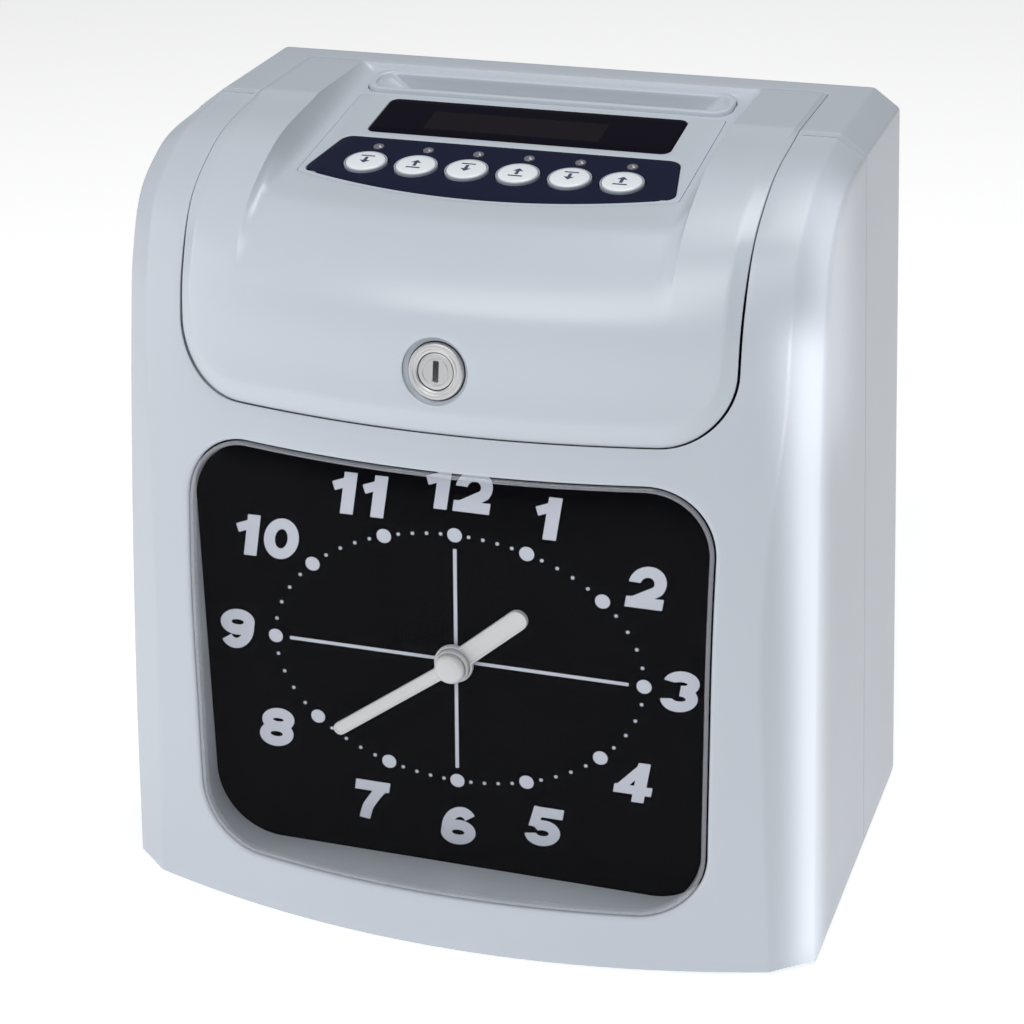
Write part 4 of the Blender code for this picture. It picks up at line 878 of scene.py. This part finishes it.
def build_inlet():
    """Mains inlet: rounded shroud around a deep socket with two pins."""
    low, high = INLET_LOW, INLET_HIGH
    socket = rounded(low + 3, high - 3, 2.2, 3, 6)[::-1]
    depth = 14.0
    face = patch([(rounded(low, high, 1.0, 3, 5), [(0, depth + 4)] + lip(0.5, 3)),
                  (socket, [(0, depth)] + lip(0.7, 3))],
                 grid_points([0.0], [0.0]),
                 lambda flat, drops: np.stack([flat[:, 0], -0.05 - drops, flat[:, 1]], 1))
    back = ([(x, -0.05 - depth, z) for x, z in socket], [tuple(range(len(socket)))])
    verts, faces = merge(face, back)
    add_mesh("inlet_shroud", verts, faces, BLACK, "case", ["power_inlet"], "black_plastic")
    pin = [(1.2, 0), (1.2, 6.3), (0.9, 6.9), (0.4, 7.1), (0, 7.1)]
    middle = (low + high) / 2
    parts = []
    for side in (-1, 1):
        verts, faces = lathe(pin, 24)
        turn = Matrix.Translation((middle[0] + side * 4.3, -0.05 - depth, middle[1])) \
            @ Matrix.Rotation(-math.pi / 2, 4, "X")
        parts.append((turned(verts, turn), faces))
    verts, faces = merge(*parts)
    add_mesh("inlet_pins", verts, faces, CHROME, "case")


# ---------------------------------------------------------------- clock

def clock_ray(angle, half_width, half_height):
    """Where a ray from the dial's centre meets an ellipse; 0 is at twelve, turning clockwise."""
    reach = 1 / math.hypot(math.sin(angle) / half_width, math.cos(angle) / half_height)
    return np.array([math.sin(angle) * reach, math.cos(angle) * reach])


def ribbon(points, width):
    """A flat stroke of constant width along a line, as (points, faces) in the plane."""
    points = np.asarray(points, float)
    along = unit(np.gradient(points, axis=0))
    left = np.stack([-along[:, 1], along[:, 0]], 1) * width / 2
    if len(points) > 2:
        bend = np.sum(unit(np.diff(points, axis=0))[1:] * along[1:-1], 1, keepdims=True)
        left[1:-1] /= np.maximum(bend, 0.5)
    count = len(points)
    faces = [(i, i + 1, count + i + 1, count + i) for i in range(count - 1)]
    return np.concatenate([points - left, points + left]), faces


def bowl(centre, radii, start, end):
    """A curved stroke along part of an ellipse, as (points, faces)."""
    steps = max(4, int(abs(end - start) / 7))
    half = STROKE / 2
    inner = arc(centre, (radii[0] - half, radii[1] - half), start, end, steps)
    outer = arc(centre, (radii[0] + half, radii[1] + half), start, end, steps)
    faces = [(i, steps + 1 + i, steps + 2 + i, i + 1) for i in range(steps)]
    return np.concatenate([inner, outer]), faces


def digit_strokes(digit):
    """The strokes of a heavy plain digit, centred on the origin."""
    edge, side = DIGIT_HEIGHT / 2, WIDE + STROKE / 2
    low, high = 0.53 * TALL, 0.47 * TALL            # half heights of the two bowls
    upper, lower = TALL - high, low - TALL
    if digit == 0:
        return [bowl((0, 0), (WIDE, TALL), 0, 360)]
    if digit == 1:
        return [ribbon([(1.3, -edge), (1.3, edge)], STROKE + 0.5),
                ribbon([(1.5, TALL - 0.9), (-3.6, TALL - 3.1)], STROKE - 0.5)]
    if digit == 2:
        turn = TALL - WIDE
        return [bowl((0, turn), (WIDE, WIDE), -38, 178),
                ribbon([(3.2, turn - 2.0), (-2.9, -TALL + 0.3)], STROKE),
                ribbon([(-side, -TALL), (side, -TALL)], STROKE)]
    if digit == 3:
        return [bowl((-0.2, upper), (WIDE - 0.2, high), -90, 170),
                bowl((-0.1, lower), (WIDE, low), -172, 90)]
    if digit == 4:
        return [ribbon([(2.1, -edge), (2.1, edge)], STROKE + 0.2),
                ribbon([(2.1, edge - 1.1), (-3.9, -2.4)], STROKE - 0.6),
                ribbon([(-side - 0.2, -2.7), (side + 0.3, -2.7)], STROKE - 0.5)]
    if digit == 5:
        return [ribbon([(-3.7, TALL), (side - 0.3, TALL)], STROKE),
                ribbon([(-2.5, edge), (-3.3, -0.4)], STROKE - 0.4),
                bowl((-0.2, lower), (WIDE, low + 0.15), -170, 138)]
    if digit == 6:
        return [bowl((0, 0), (WIDE, TALL), 38, 200), bowl((0, lower), (WIDE, low), 0, 360)]
    if digit == 7:
        return [ribbon([(-side, TALL), (side, TALL)], STROKE),
                ribbon([(3.5, TALL + 0.4), (1.2, 1.4), (-0.6, -2.4), (-1.1, -edge)], STROKE)]
    if digit == 8:
        return [bowl((0, upper), (WIDE - 0.25, high), 0, 360),
                bowl((0, lower), (WIDE, low), 0, 360)]
    return [(-points, faces) for points, faces in digit_strokes(6)]


def numeral(number):
    """The strokes of a number leaning to the right, centred on the origin."""
    digits = [int(character) for character in str(number)]
    widths = [9.4 if digit == 1 else 11.7 for digit in digits]
    parts, x = [], -sum(widths) / 2
    for digit, width in zip(digits, widths):
        for points, faces in digit_strokes(digit):
            points = points + (x + width / 2, 0)
            points[:, 0] += NUMERAL_LEAN * points[:, 1]
            parts.append((points, faces))
        x += width
    return parts


def build_dial():
    """The black plate and what is printed on it."""
    low, high = DIAL_LOW, DIAL_HIGH
    outline = rounded((low.x, low.z), (high.x, high.z), 22, 4, 12)
    hole = arc((0, DIAL_Z), 4.6, 360, 15, 23)
    plate = patch([(outline, [(0, 1.5)] + lip(0.3, 3)), (hole, [(0, 1.5), (0, 0.2), (0.2, 0)])],
                  grid_points(np.linspace(-76, 76, 20), np.linspace(20, 146, 16)),
                  lambda flat, drops: np.stack([flat[:, 0], DIAL_Y + drops, flat[:, 1]], 1))
    add_mesh("dial_face", *plate, DIAL, "case", ["dial_plate"], "dial_black")
    print_y = DIAL_Y - 0.05
    parts = []
    for minute in range(60):
        centre = clock_ray(math.radians(6 * minute), *MARK_ELLIPSE)
        dot = arc(centre, 0.55 if minute % 5 else 2.25, 0, 345, 23)
        parts.append((dot, [tuple(range(24))]))
    a, b = MARK_ELLIPSE
    for side in (-1, 1):
        parts.append(ribbon([(side * (a - 4.6), 0), (0, 0)], 1.1))
        parts.append(ribbon([(0, side * (b - 4.4)), (0, 0)], 1.1))
    for hour, centre in enumerate(NUMERAL_PLACES, 1):
        parts += [(points + centre, faces) for points, faces in numeral(hour)]
    verts, faces = merge(*parts)
    joined = geometry.delaunay_2d_cdt([Vector(p) for p in verts], [], faces, 0, 1e-4)
    flat = [(p.x + PRINT_SHEAR * p.y, print_y, p.y + DIAL_Z) for p in joined[0]]
    inked = [face for face, strokes in zip(joined[2], joined[5]) if strokes]
    add_mesh("dial_printing", flat, inked, INK, "case", smooth=False)


def hand(name, node, body, sizes, front, thickness, angle):
    """A bar with a round end on a round hub, with a raised border along its edge."""
    length, half_width, hub = sizes
    lean = math.degrees(math.asin(half_width / hub))
    outline = dense(np.concatenate([
        arc((0, 0), hub, 90 + lean, 450 - lean, 48),
        arc((0, length - half_width), half_width, 0, 180, 20)]), 1.2)
    border, step = 0.55, 0.32
    rings = [(0, thickness), (0, 0.3), (0.1, 0.08), (0.25, 0), (border, 0),
             (border + 0.12, step)]
    grid = grid_points([0.0], np.linspace(-hub + 2, length - 2, 30))

    def mapping(flat, drops):
        x = flat[:, 0] * math.cos(angle) + flat[:, 1] * math.sin(angle)
        z = flat[:, 1] * math.cos(angle) - flat[:, 0] * math.sin(angle)
        return np.stack([x, DIAL_Y - front + drops, DIAL_Z + z], 1)

    def lowered(flat, drops):
        deep = drops.copy()
        deep[len(outline) * len(rings):] = step
        return mapping(flat, deep)

    verts, faces = patch([(outline, rings)], grid, lowered, 0.3)
    add_mesh(name, verts, faces, HAND, body, [node], "hand_white")


def build_hands():
    """Both hands and the cap that holds them; their fronts are 2.8 and 4.6 mm off the dial."""
    hand("hour_hand_moulding", "hour_hand", "hour_arbor", HOUR_HAND, 2.8, 1.5, HOUR_ANGLE)
    hand("minute_hand_moulding", "minute_hand", "minute_arbor", MINUTE_HAND, 4.6, 1.2,
         MINUTE_ANGLE)
    cap = [(0, 5.1), (4.6, 5.1), (4.6, 6.1), (3.9, 6.9), (2.0, 7.3), (0, 7.35)]
    verts, faces = lathe(round_profile(cap, 0.35), 64)
    turn = Matrix.Translation((0, DIAL_Y, DIAL_Z)) @ Matrix.Rotation(math.pi / 2, 4, "X")
    add_mesh("hand_cap_moulding", turned(verts, turn), faces, HAND, "minute_arbor", ["hand_cap"])


def build_lens():
    """A clear face that follows the bow, with a moulded rim around it whose pale tint is painted
    sheen.
    """
    edge = developed(window_loop(-0.05))
    rim_width, rim_depth, sunk = 1.3, 1.4, 0.45
    reaches = np.linspace(reach_at(LENS_LOW.z), reach_at(LENS_HIGH.z), 46)
    grid = grid_points(np.linspace(-82, 82, 50), reaches)

    def mapping(flat, drops):
        return case_point(flat, drops + sunk)

    face = patch([(offset(edge, 0.4), [(0, 0.25)])], grid, mapping)
    add_mesh("clock_lens_face", *face, PLATE_CLEAR, "case", ["clock_lens"], "clear_plastic")
    rings = [(0, rim_depth), (0, 0.5), (0.15, 0.15), (0.5, 0.0), (rim_width - 0.5, 0.0),
             (rim_width - 0.15, 0.12), (rim_width, 0.45), (rim_width, 1.6)]
    rim = bridge([mapping(offset(edge, distance), np.full(len(edge), drop))
                  for distance, drop in rings])
    add_mesh("clock_lens_rim", *rim, RIM_PAINTED_SHEEN, "case")


# ---------------------------------------------------------------- upper cover

def smoothstep(t):
    """0 below 0 and 1 above 1, with a smooth rise between."""
    t = np.clip(t, 0, 1)
    return t * t * (3 - 2 * t)


def panel_z(y):
    """Height of the sunken panel's plane."""
    return PANEL_REAR_Z + PANEL_SLOPE * (y - PANEL_REAR_Y)


def cover_proud(z):
    """How far the cover stands out from the case's surface at a height."""
    return COVER_PROUD + COVER_SWELL * smoothstep((CASE_TOP - 8 - z) / 24)


def cover_surface(x, reach):
    """The cover's outer surface: the case's, stood out a little, with the scoop sunk into it."""
    low = np.clip(reach, 0, TOP_REACH)
    point = on_bow(x, low)
    ahead = on_bow(x, np.minimum(low + 0.4, TOP_REACH))
    behind = on_bow(x, np.maximum(low - 0.4, 0))
    along = unit((ahead - behind) * (0, 1, 1))
    proud = cover_proud(point[:, 2])
    point[:, 1] -= along[:, 2] * proud
    point[:, 2] += along[:, 1] * proud
    point[:, 1] += np.maximum(reach - TOP_REACH, 0)
    height = (point[:, 2] - panel_z(point[:, 1])) / SCOOP_BLEND
    drop = SCOOP_BLEND * np.log1p(np.exp(np.minimum(height, 30)))
    hollow = np.clip((SCOOP_CREST - np.abs(x)) / (SCOOP_CREST - SCOOP_FLAT), 0, 1)
    drop *= 1 - (1 - hollow) ** 2.4
    drop *= smoothstep((SCOOP_REAR_Y - point[:, 1]) / SCOOP_RISE)
    tail = SCOOP_TAIL * smoothstep((point[:, 2] - TAIL_END_Z) / 22)
    tail *= (1 - (1 - hollow) ** 3) * (1 - smoothstep(drop / 3))
    tail *= 1 - smoothstep((low - TOP_REACH + 30) / 12)
    point[:, 1] += along[:, 2] * tail
    point[:, 2] -= along[:, 1] * tail + drop
    return point


def cover_reach(points):
    """The reaches that bring the cover's surface to the given (x, y) points."""
    knots = np.linspace(reach_at(COVER_LOW.z), TOP_REACH, 160)
    out = []
    for x, y in points:
        line = cover_surface(np.full(len(knots), x), knots)[:, 1]
        out.append((x, np.interp(y, line, knots) if y < SEAM_Y else TOP_REACH + y - SEAM_Y))
    return np.array(out)


def cover_rear(z):
    """The furthest back that the cover reaches at a height."""
    return HINGE_Y - 8.8 + 2.6 * (z - HINGE_Z) / 6.6


def cover_point(flat, drops):
    """Points of the cover at (x, reach), sunk by the drops."""
    point = cover_surface(flat[:, 0], flat[:, 1])
    normal = normals_of(cover_surface, flat[:, 0], flat[:, 1], 0.08)
    point = point - normal * drops[:, None]
    rear = flat[:, 1] > TOP_REACH
    point[rear, 1] = np.minimum(point[rear, 1], cover_rear(point[rear, 2]))
    return point


def funnel_outline(grow):
    return rounded((FUNNEL_LOW.x - grow, FUNNEL_LOW.y - grow),
                   (FUNNEL_HIGH.x + grow, FUNNEL_HIGH.y + grow), 5 + grow, 1e3, 10)


def bowed_outline(rear_half, front_half, rear_y, side_y, bow, corner):
    """A plate with a straight rear edge and a bowed front edge, with small round corners."""
    front = np.linspace(-front_half, front_half, 41)
    points = [(x, side_y - bow * (1 - (x / front_half) ** 2)) for x in front]
    points += [(rear_half, rear_y), (-rear_half, rear_y)]
    return round_corners(points, corner)


def round_corners(points, radius, steps=6, sharpest=0.97):
    """Round those corners of a closed outline that turn by more than a little."""
    points = [np.array(p, float) for p in points]
    out = []
    for before, corner, after in zip(points[-1:] + points[:-1], points, points[1:] + points[:1]):
        a, b = before - corner, after - corner
        a, b = a / np.linalg.norm(a), b / np.linalg.norm(b)
        if -(a @ b) > sharpest:
            out.append(corner)
            continue
        for k in range(steps + 1):
            t = k / steps
            out.append((corner + a * radius) * (1 - t) ** 2 + corner * 2 * t * (1 - t)
                       + (corner + b * radius) * t**2)
    return np.array(out)


def panel_outline(grow):
    half = SCOOP_FLAT - 0.5 + grow
    return bowed_outline(half, half, PANEL_REAR_Y + 1.9 + grow, KEYPAD_SIDE_Y - 1.4 - grow,
                         KEYPAD_BOW, 1.2)


def keypad_outline(grow):
    return bowed_outline(KEYPAD_REAR_HALF + grow, KEYPAD_FRONT_HALF + grow,
                         KEYPAD_REAR_Y + grow, KEYPAD_SIDE_Y - grow, KEYPAD_BOW, 3.4)


def display_outline(grow):
    return rounded((DISPLAY_LOW.x - grow, DISPLAY_LOW.y - grow),
                   (DISPLAY_HIGH.x + grow, DISPLAY_HIGH.y + grow), 2.5 + grow, 4, 6)


def cover_outline():
    """The cover's edge in (x, reach), with the width of the bevel inside it at each point."""
    half, floor_z = COVER_HIGH.x + COVER_REVEAL, COVER_LOW.z - COVER_REVEAL
    radius, bottom = COVER_RADIUS + COVER_REVEAL, reach_at(COVER_LOW.z - COVER_REVEAL)
    rear = TOP_REACH + cover_rear(CASE_TOP + COVER_PROUD) - SEAM_Y
    corner = arc((half - radius, floor_z + radius), radius, -90, 0, 20)
    corner[:, 1] = reach_at(corner[:, 1])
    floor = np.linspace(0, half - radius, 26)[:-1]
    side = np.linspace(corner[-1, 1], rear, 70)[1:]
    back = np.linspace(half, 0, 34)[1:]
    right = np.concatenate([np.stack([floor, 0 * floor + bottom], 1), corner,
                            np.stack([0 * side + half, side], 1),
                            np.stack([back, 0 * back + rear], 1)])
    return np.concatenate([right, right[-2:0:-1] * (-1, 1)])


def build_cover():
    """The cover's shell with its bevelled edge and its openings, and the lock's seat."""
    loop = cover_outline()
    bottom, rear = loop[:, 1].min(), loop[:, 1].max()
    rise = smoothstep((loop[:, 1] - bottom) / 34)
    top = smoothstep((loop[:, 1] - TOP_REACH + 18) / 18)
    width = BEVEL_FLOOR + (BEVEL_SIDE - BEVEL_FLOOR) * rise
    width = width + (BEVEL_TOP - width) * top
    depth = cover_proud(cover_surface(loop[:, 0], loop[:, 1])[:, 2]) - 0.1
    depth += BEVEL_UNDERCUT * (1 - rise)
    turn = 0.35
    rings = [(0 * width[:, None], depth + COVER_SKIRT), (0 * width[:, None], depth + turn)]
    for distance, drop in lip(turn)[1:]:
        rings.append((0 * width[:, None] + distance, depth + drop - turn * 0.2 * distance))
    for share, fall in ((0.5, 0.5), (0.86, 0.16), (0.95, 0.07), (1.06, 0.012)):
        rings.append(((turn + (width - turn) * share)[:, None], depth * fall))
    columns = np.concatenate([np.linspace(0, SCOOP_FLAT - 1, 30),
                              np.linspace(SCOOP_FLAT - 0.5, SCOOP_CREST + 0.5, 15),
                              np.linspace(SCOOP_CREST + 2, COVER_HIGH.x - 1, 9)])
    columns = np.concatenate([-columns[:0:-1], columns])
    reaches = np.concatenate([np.linspace(bottom + 2, TOP_REACH - 45, 22),
                              np.linspace(TOP_REACH - 44, rear - 1, 76)])
    panel = cover_reach(panel_outline(0.12))[::-1]
    funnel = dense(funnel_outline(0.3), 2.5)[::-1]
    funnel[:, 1] += TOP_REACH - SEAM_Y
    seat = arc((0, reach_at(LOCK_Z)), LOCK_SEAT, 360, 6, 59)
    edge = [(0, 3.2)] + lip(0.35, 3)
    crisp = [(0, 3.2)] + lip(0.18, 2)
    shell = patch([(loop, rings), (panel, crisp), (funnel, edge), (seat, lip(0.45, 3))],
                  grid_points(columns, reaches), cover_point, 0.5)
    thicken(add_mesh("upper_cover_shell", *shell, COVER, "cover", ["upper_cover"],
                     "cover_plastic"), COVER_WALL)
    ring = round_profile([(LOCK_SEAT + 0.2, -0.1), (8.7, -0.75), (8.45, -0.75),
                          (8.45, -4.0)], 0.2)
    verts, faces = lathe(ring, 80)
    add_mesh("lock_seat", turned(verts, lock_matrix()), faces, COVER, "cover")


def panel_mapping(height):
    """A mapping to the plane a given height above the panel."""
    def mapping(flat, drops):
        z = panel_z(flat[:, 1]) + height - drops
        return np.stack([flat[:, 0], flat[:, 1], z], 1)
    return mapping


def button_x(index):
    return (index - (BUTTON_COUNT - 1) / 2) * BUTTON_PITCH


def key_holes(grow):
    """Clockwise outlines around the buttons and the lights."""
    holes = []
    for index in range(BUTTON_COUNT):
        holes.append(arc((button_x(index), BUTTON_Y), BUTTON_RADIUS + grow, 360, 9, 39))
        holes.append(arc((button_x(index), LED_Y), LED_RADIUS + 0.15, 360, 15, 23))
    return holes


def build_panel():
    """Sunken panel with the display and the keypad let into it."""
    grid = grid_points(np.linspace(-56, 56, 30), np.linspace(-94, -33, 20))
    seat = [(0, 1.0)] + lip(0.3, 3)
    panel = patch([(panel_outline(0), [(0, 2.0)] + lip(0.18, 2)),
                   (display_outline(0.25)[::-1], seat), (keypad_outline(0.25)[::-1], seat)],
                  grid, panel_mapping(0))
    thicken(add_mesh("control_panel_moulding", *panel, COVER, "cover", ["control_panel"]), 1.4)
    window = patch([(display_outline(0), [(0, 1.4)] + lip(0.3, 3))], grid, panel_mapping(0.1))
    add_mesh("display_glass", *window, WINDOW, "cover", ["display_window"], "window_black")
    screen = rounded((-30, -52), (24, -40.3), 0.4, 5, 3)
    lcd = patch([(screen, [(0, 0)])], grid, panel_mapping(0.112))
    add_mesh("display_screen", *lcd, LCD, "cover", smooth=False)
    holes = [(hole, [(0, 1.5), (0, 0.1), (0.1, 0)]) for hole in key_holes(0.3)]
    keypad = patch([(keypad_outline(0), [(0, 0.9)] + lip(0.2, 3))] + holes, grid,
                   panel_mapping(0.1), 0.6)
    add_mesh("keypad_overlay_skin", *keypad, NAVY, "cover", ["keypad_overlay"], "keypad_navy")


def arrow(up):
    """Arrow towards a line: the punch-in and punch-out legends."""
    shaft, head, top, foot = 0.5, 1.6, 2.2, -1.6
    flip = 1 if up else -1
    points = [(-shaft, foot), (shaft, foot), (shaft, 0.5), (head, 0.5), (0, top), (-head, 0.5),
              (-shaft, 0.5)]
    bar = [(-2.1, -2.8), (2.1, -2.8), (2.1, -2.1), (-2.1, -2.1)]
    return [[(x, y * flip) for x, y in line] for line in (points, bar)]


def build_buttons():
    """Six domed keys, each in a ring and with its arrow."""
    radius = BUTTON_RADIUS
    profile = [(0, -6.0), (1.6, -6.0), (1.6, -3.5), (radius - 0.6, -3.5), (radius - 0.6, 0.6),
               (radius - 0.75, 0.85), (radius - 1.3, 1.05), (radius - 3.2, 1.18), (0, 1.24)]
    rim = [(radius - 0.5, -3.2), (radius, -3.2), (radius, 0.6), (radius - 0.2, 0.82),
           (radius - 0.5, 0.7), (radius - 0.5, -1.0)]
    for index in range(BUTTON_COUNT):
        turn = Matrix.Translation((button_x(index), BUTTON_Y, panel_z(BUTTON_Y))) \
            @ Matrix.Rotation(PANEL_TILT, 4, "X")
        verts, faces = lathe(round_profile(profile, 0.3, 3), 72)
        node, body = f"push_button_{index + 1}", f"button_{index + 1}"
        add_mesh(f"{node}_cap", turned(verts, turn), faces, KEY, body, [node], "button_white")
        verts, faces = lathe(round_profile(rim, 0.15, 3), 72)
        add_mesh(f"{node}_ring", turned(verts, turn), faces, BEZEL, body)
        parts = []
        for line in arrow(index % 2 == 1):
            verts = [(x, y, 1.27 - 0.02 * math.hypot(x, y)) for x, y in line]
            parts.append((turned(verts, turn), [tuple(range(len(line)))]))
        verts, faces = merge(*parts)
        add_mesh(f"{node}_legend", verts, faces, LEGEND, body, smooth=False)


def build_leds():
    """A domed lens over each light window."""
    dome = [(LED_RADIUS, -1.2), (LED_RADIUS, 0.2), (LED_RADIUS - 0.25, 0.45),
            (LED_RADIUS - 0.9, 0.75), (0.4, 0.9), (0, 0.9)]
    parts = []
    for index in range(BUTTON_COUNT):
        turn = Matrix.Translation((button_x(index), LED_Y, panel_z(LED_Y))) \
            @ Matrix.Rotation(PANEL_TILT, 4, "X")
        verts, faces = lathe(round_profile(dome, 0.3), 40)
        parts.append((turned(verts, turn), faces))
    verts, faces = merge(*parts)
    add_mesh("indicator_lenses", verts, faces, LED, "cover")


def build_funnel():
    """Card mouth: a rounded rim, a slope down to the throat and straight walls below it."""
    outer = funnel_outline(0)
    mouth = rounded((FUNNEL_LOW.x + 2, FUNNEL_LOW.y + 1.8), (FUNNEL_HIGH.x - 2,
                    FUNNEL_HIGH.y - 1.6), 4.5, 1e3, 10)
    throat = rounded((-44.5, -24), (44.5, -18), 1.0, 1e3, 10)
    rings = [(outer, -5.0), (outer, 0.4), (offset(outer, 0.18), 0.82), (offset(outer, 0.6), 1.0),
             (offset(mouth, -0.7), 1.0), (offset(mouth, -0.3), 0.9), (mouth, 0.55),
             (offset(mouth, 0.18), 0.1)]
    rings += [(mouth + (throat - mouth) * t, -6.9 * t**1.15) for t in (0.2, 0.45, 0.7, 0.9)]
    rings += [(throat + (mouth - throat) * 0.01, -6.9), (throat, -7.6), (throat, -10.4)]
    lines = []
    for outline, height in rings:
        lines.append([(x, y, panel_z(y) + height) for x, y in outline])
    verts, faces = bridge(lines)
    add_mesh("card_funnel_moulding", verts, faces, COVER, "cover", ["card_funnel"])


# ---------------------------------------------------------------- lock

def lock_matrix():
    """From the lock's own axes, with Z out of the cover, to the clock's."""
    return (Matrix.Translation((0, LOCK_Y, LOCK_Z))
            @ Matrix.Rotation(math.pi / 2 - LOCK_LEAN, 4, "X"))


def build_lock():
    """Barrel with a turned face, and the plug with its key slot."""
    barrel = [(5.35, -6.0), (5.35, 0.3), (5.6, 0.6), (6.2, 0.7), (6.4, 0.5), (6.65, 0.7),
              (7.6, 0.7), (8.05, 0.4), (8.15, -0.3), (8.15, -0.9), (7.0, -0.9), (7.0, -8.0)]
    verts, faces = lathe(round_profile(barrel, 0.16), 96)
    add_mesh("lock_barrel_turning", turned(verts, lock_matrix()), faces, CHROME, "cover",
             ["lock_barrel"], "chrome")
    rim = arc((0, 0), 5.2, 0, 357, 95)
    slot_half, slot_long = 0.8, 2.9
    slot = rounded((-slot_half, -slot_long), (slot_half, slot_long), 0.25, 1, 3)[::-1]
    rings = [(0, 9.0)] + [(d, h) for d, h in lip(0.35, 3)] + [(1.2, 0.0), (1.35, 0.12), (1.55, 0.12),
                                                           (1.7, 0.0)]

    def mapping(flat, drops):
        return turned(np.stack([flat[:, 0], flat[:, 1], 0.25 - drops], 1), lock_matrix())

    plug = patch([(rim, rings), (slot, [(0, 6.0), (0, 0.18), (0.14, 0)])],
                 grid_points([-2.0, 2.0], [-1.0, 0, 1.0]), mapping, 0.2)
    floor = (turned([(x, y, -5.7) for x, y in slot], lock_matrix()), [tuple(range(len(slot)))])
    verts, faces = merge(plug, floor)
    add_mesh("lock_plug_turning", verts, faces, CHROME, "lock", ["lock_plug"])


# ---------------------------------------------------------------- works inside the case

def finish_works():
    """Give the mechanism's own solids softened edges and real materials."""
    looks = {
        ZINC: ("hinge_arm_left", "hinge_arm_right", "hinge_rail", "lock_cam", "print_frame"),
        STEEL: ("hinge_pin", "carriage_shaft"),
        BRASS: ("cannon_pinion", "hour_wheel", "minute_wheel", "motor_pinion"),
        BLACK: ("movement_case", "print_head", "ribbon_cartridge", "carriage_motor",
                "feed_motor"),
        NYLON: ("print_carriage", "drive_pulley", "idler_pulley", "feed_gear", "ribbon_knob",
                "card_guide_front", "card_guide_rear"),
        RUBBER: ("timing_belt", "feed_roller", "pinch_roller"),
        CIRCUIT: ("main_board", "control_board"),
        IRON: ("transformer",),
        RIBBON: ("ink_ribbon",),
        PLATE_CLEAR: ("led_light_guide",)}
    for mat, names in looks.items():
        for name in names:
            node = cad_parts[name]
            node.data.materials.clear()
            node.data.materials.append(mat)
            weld = node.modifiers.new("weld", "WELD")
            weld.merge_threshold = 0.02 * MM
            bevel = node.modifiers.new("soft_edges", "BEVEL")
            bevel.width = 0.18 * MM
            bevel.segments = 2
            bevel.limit_method = "ANGLE"
            bevel.angle_limit = math.radians(40)
            bevel.harden_normals = True


# ---------------------------------------------------------------- studio

FOCAL_LENGTH, SENSOR = 94.63, 36.0
CAMERA_PLACE = Vector((0.24219, -0.69918, 0.45591))
CAMERA_YAW, CAMERA_PITCH, CAMERA_ROLL = 0.33103, 0.43413, -0.02258


def build_camera():
    """A long lens in front of the clock, above it and to its right."""
    data = bpy.data.cameras.new("camera")
    data.sensor_fit = "HORIZONTAL"
    data.sensor_width, data.lens = SENSOR, FOCAL_LENGTH
    camera = bpy.data.objects.new("camera", data)
    bpy.context.scene.collection.objects.link(camera)
    camera.matrix_world = (Matrix.Translation(CAMERA_PLACE)
                           @ Matrix.Rotation(CAMERA_YAW, 4, "Z")
                           @ Matrix.Rotation(math.pi / 2 - CAMERA_PITCH, 4, "X")
                           @ Matrix.Rotation(CAMERA_ROLL, 4, "Z"))
    bpy.context.scene.camera = camera


def area_light(name, place_at, target, size, power, spread=180):
    """A soft box; a spread below 180 degrees gives it a grid that narrows the beam."""
    data = bpy.data.lights.new(name, "AREA")
    data.shape, data.size, data.size_y = "RECTANGLE", size[0], size[1]
    data.energy, data.spread = power, math.radians(spread)
    light = bpy.data.objects.new(name, data)
    bpy.context.scene.collection.objects.link(light)
    light.location = place_at
    light.visible_camera = False
    aim = Vector(target) - Vector(place_at)
    light.rotation_euler = aim.to_track_quat("-Z", "Y").to_euler()


def build_studio():
    """Pale surroundings and floor, three soft boxes, two narrow beams on the right chamfer."""
    world = bpy.data.worlds.new("studio")
    world.use_nodes = True
    back = world.node_tree.nodes["Background"]
    back.inputs["Color"].default_value = (0.97, 0.98, 1.0, 1)
    back.inputs["Strength"].default_value = 0.16
    bpy.context.scene.world = world
    bpy.context.scene.view_settings.view_transform = "Standard"
    middle = (0, 0, 0.12)
    area_light("key", (-0.15, -1.25, 1.15), middle, (1.1, 0.8), 10.0)
    area_light("kicker", (0.209, -0.166, 0.085), (0.106, -0.0435, 0.085), (0.010, 0.22),
               0.0062, 7)
    area_light("shoulder", (0.205, -0.150, 0.245), (0.107, -0.022, 0.195), (0.010, 0.07),
               0.0024, 12)
    area_light("fill", (-1.4, -0.65, 0.45), middle, (0.8, 1.0), 4.6)
    area_light("top", (0.30, 0.10, 1.7), middle, (0.9, 0.7), 11.5)
    mat, tree, shader = new_material("floor_paper")
    paper = texture(tree, "ShaderNodeTexNoise", 300, 3.0)
    tree.links.new(tint(tree, paper, (0.90, 0.90, 0.90), (0.93, 0.93, 0.93)),
                   shader.inputs["Base Color"])
    shader.inputs["Roughness"].default_value = 0.85
    shader.inputs["Emission Color"].default_value = (1, 1, 1, 1)
    shader.inputs["Emission Strength"].default_value = 0.47
    bumps(tree, shader, (paper, 0.00001))
    mesh = bpy.data.meshes.new("floor")
    reach = 6.0
    mesh.from_pydata([(-reach, -reach, 0), (reach, -reach, 0), (reach, reach, 0),
                      (-reach, reach, 0)], [], [(0, 1, 2, 3)])
    floor = bpy.data.objects.new("floor", mesh)
    bpy.context.scene.collection.objects.link(floor)
    mesh.materials.append(mat)


build_camera()
build_studio()
build_front_case()
build_rear_housing()
build_feet()
build_screws()
build_inlet()
build_dial()
build_hands()
build_lens()
build_cover()
build_panel()
build_buttons()
build_leds()
build_funnel()
build_lock()
finish_works()
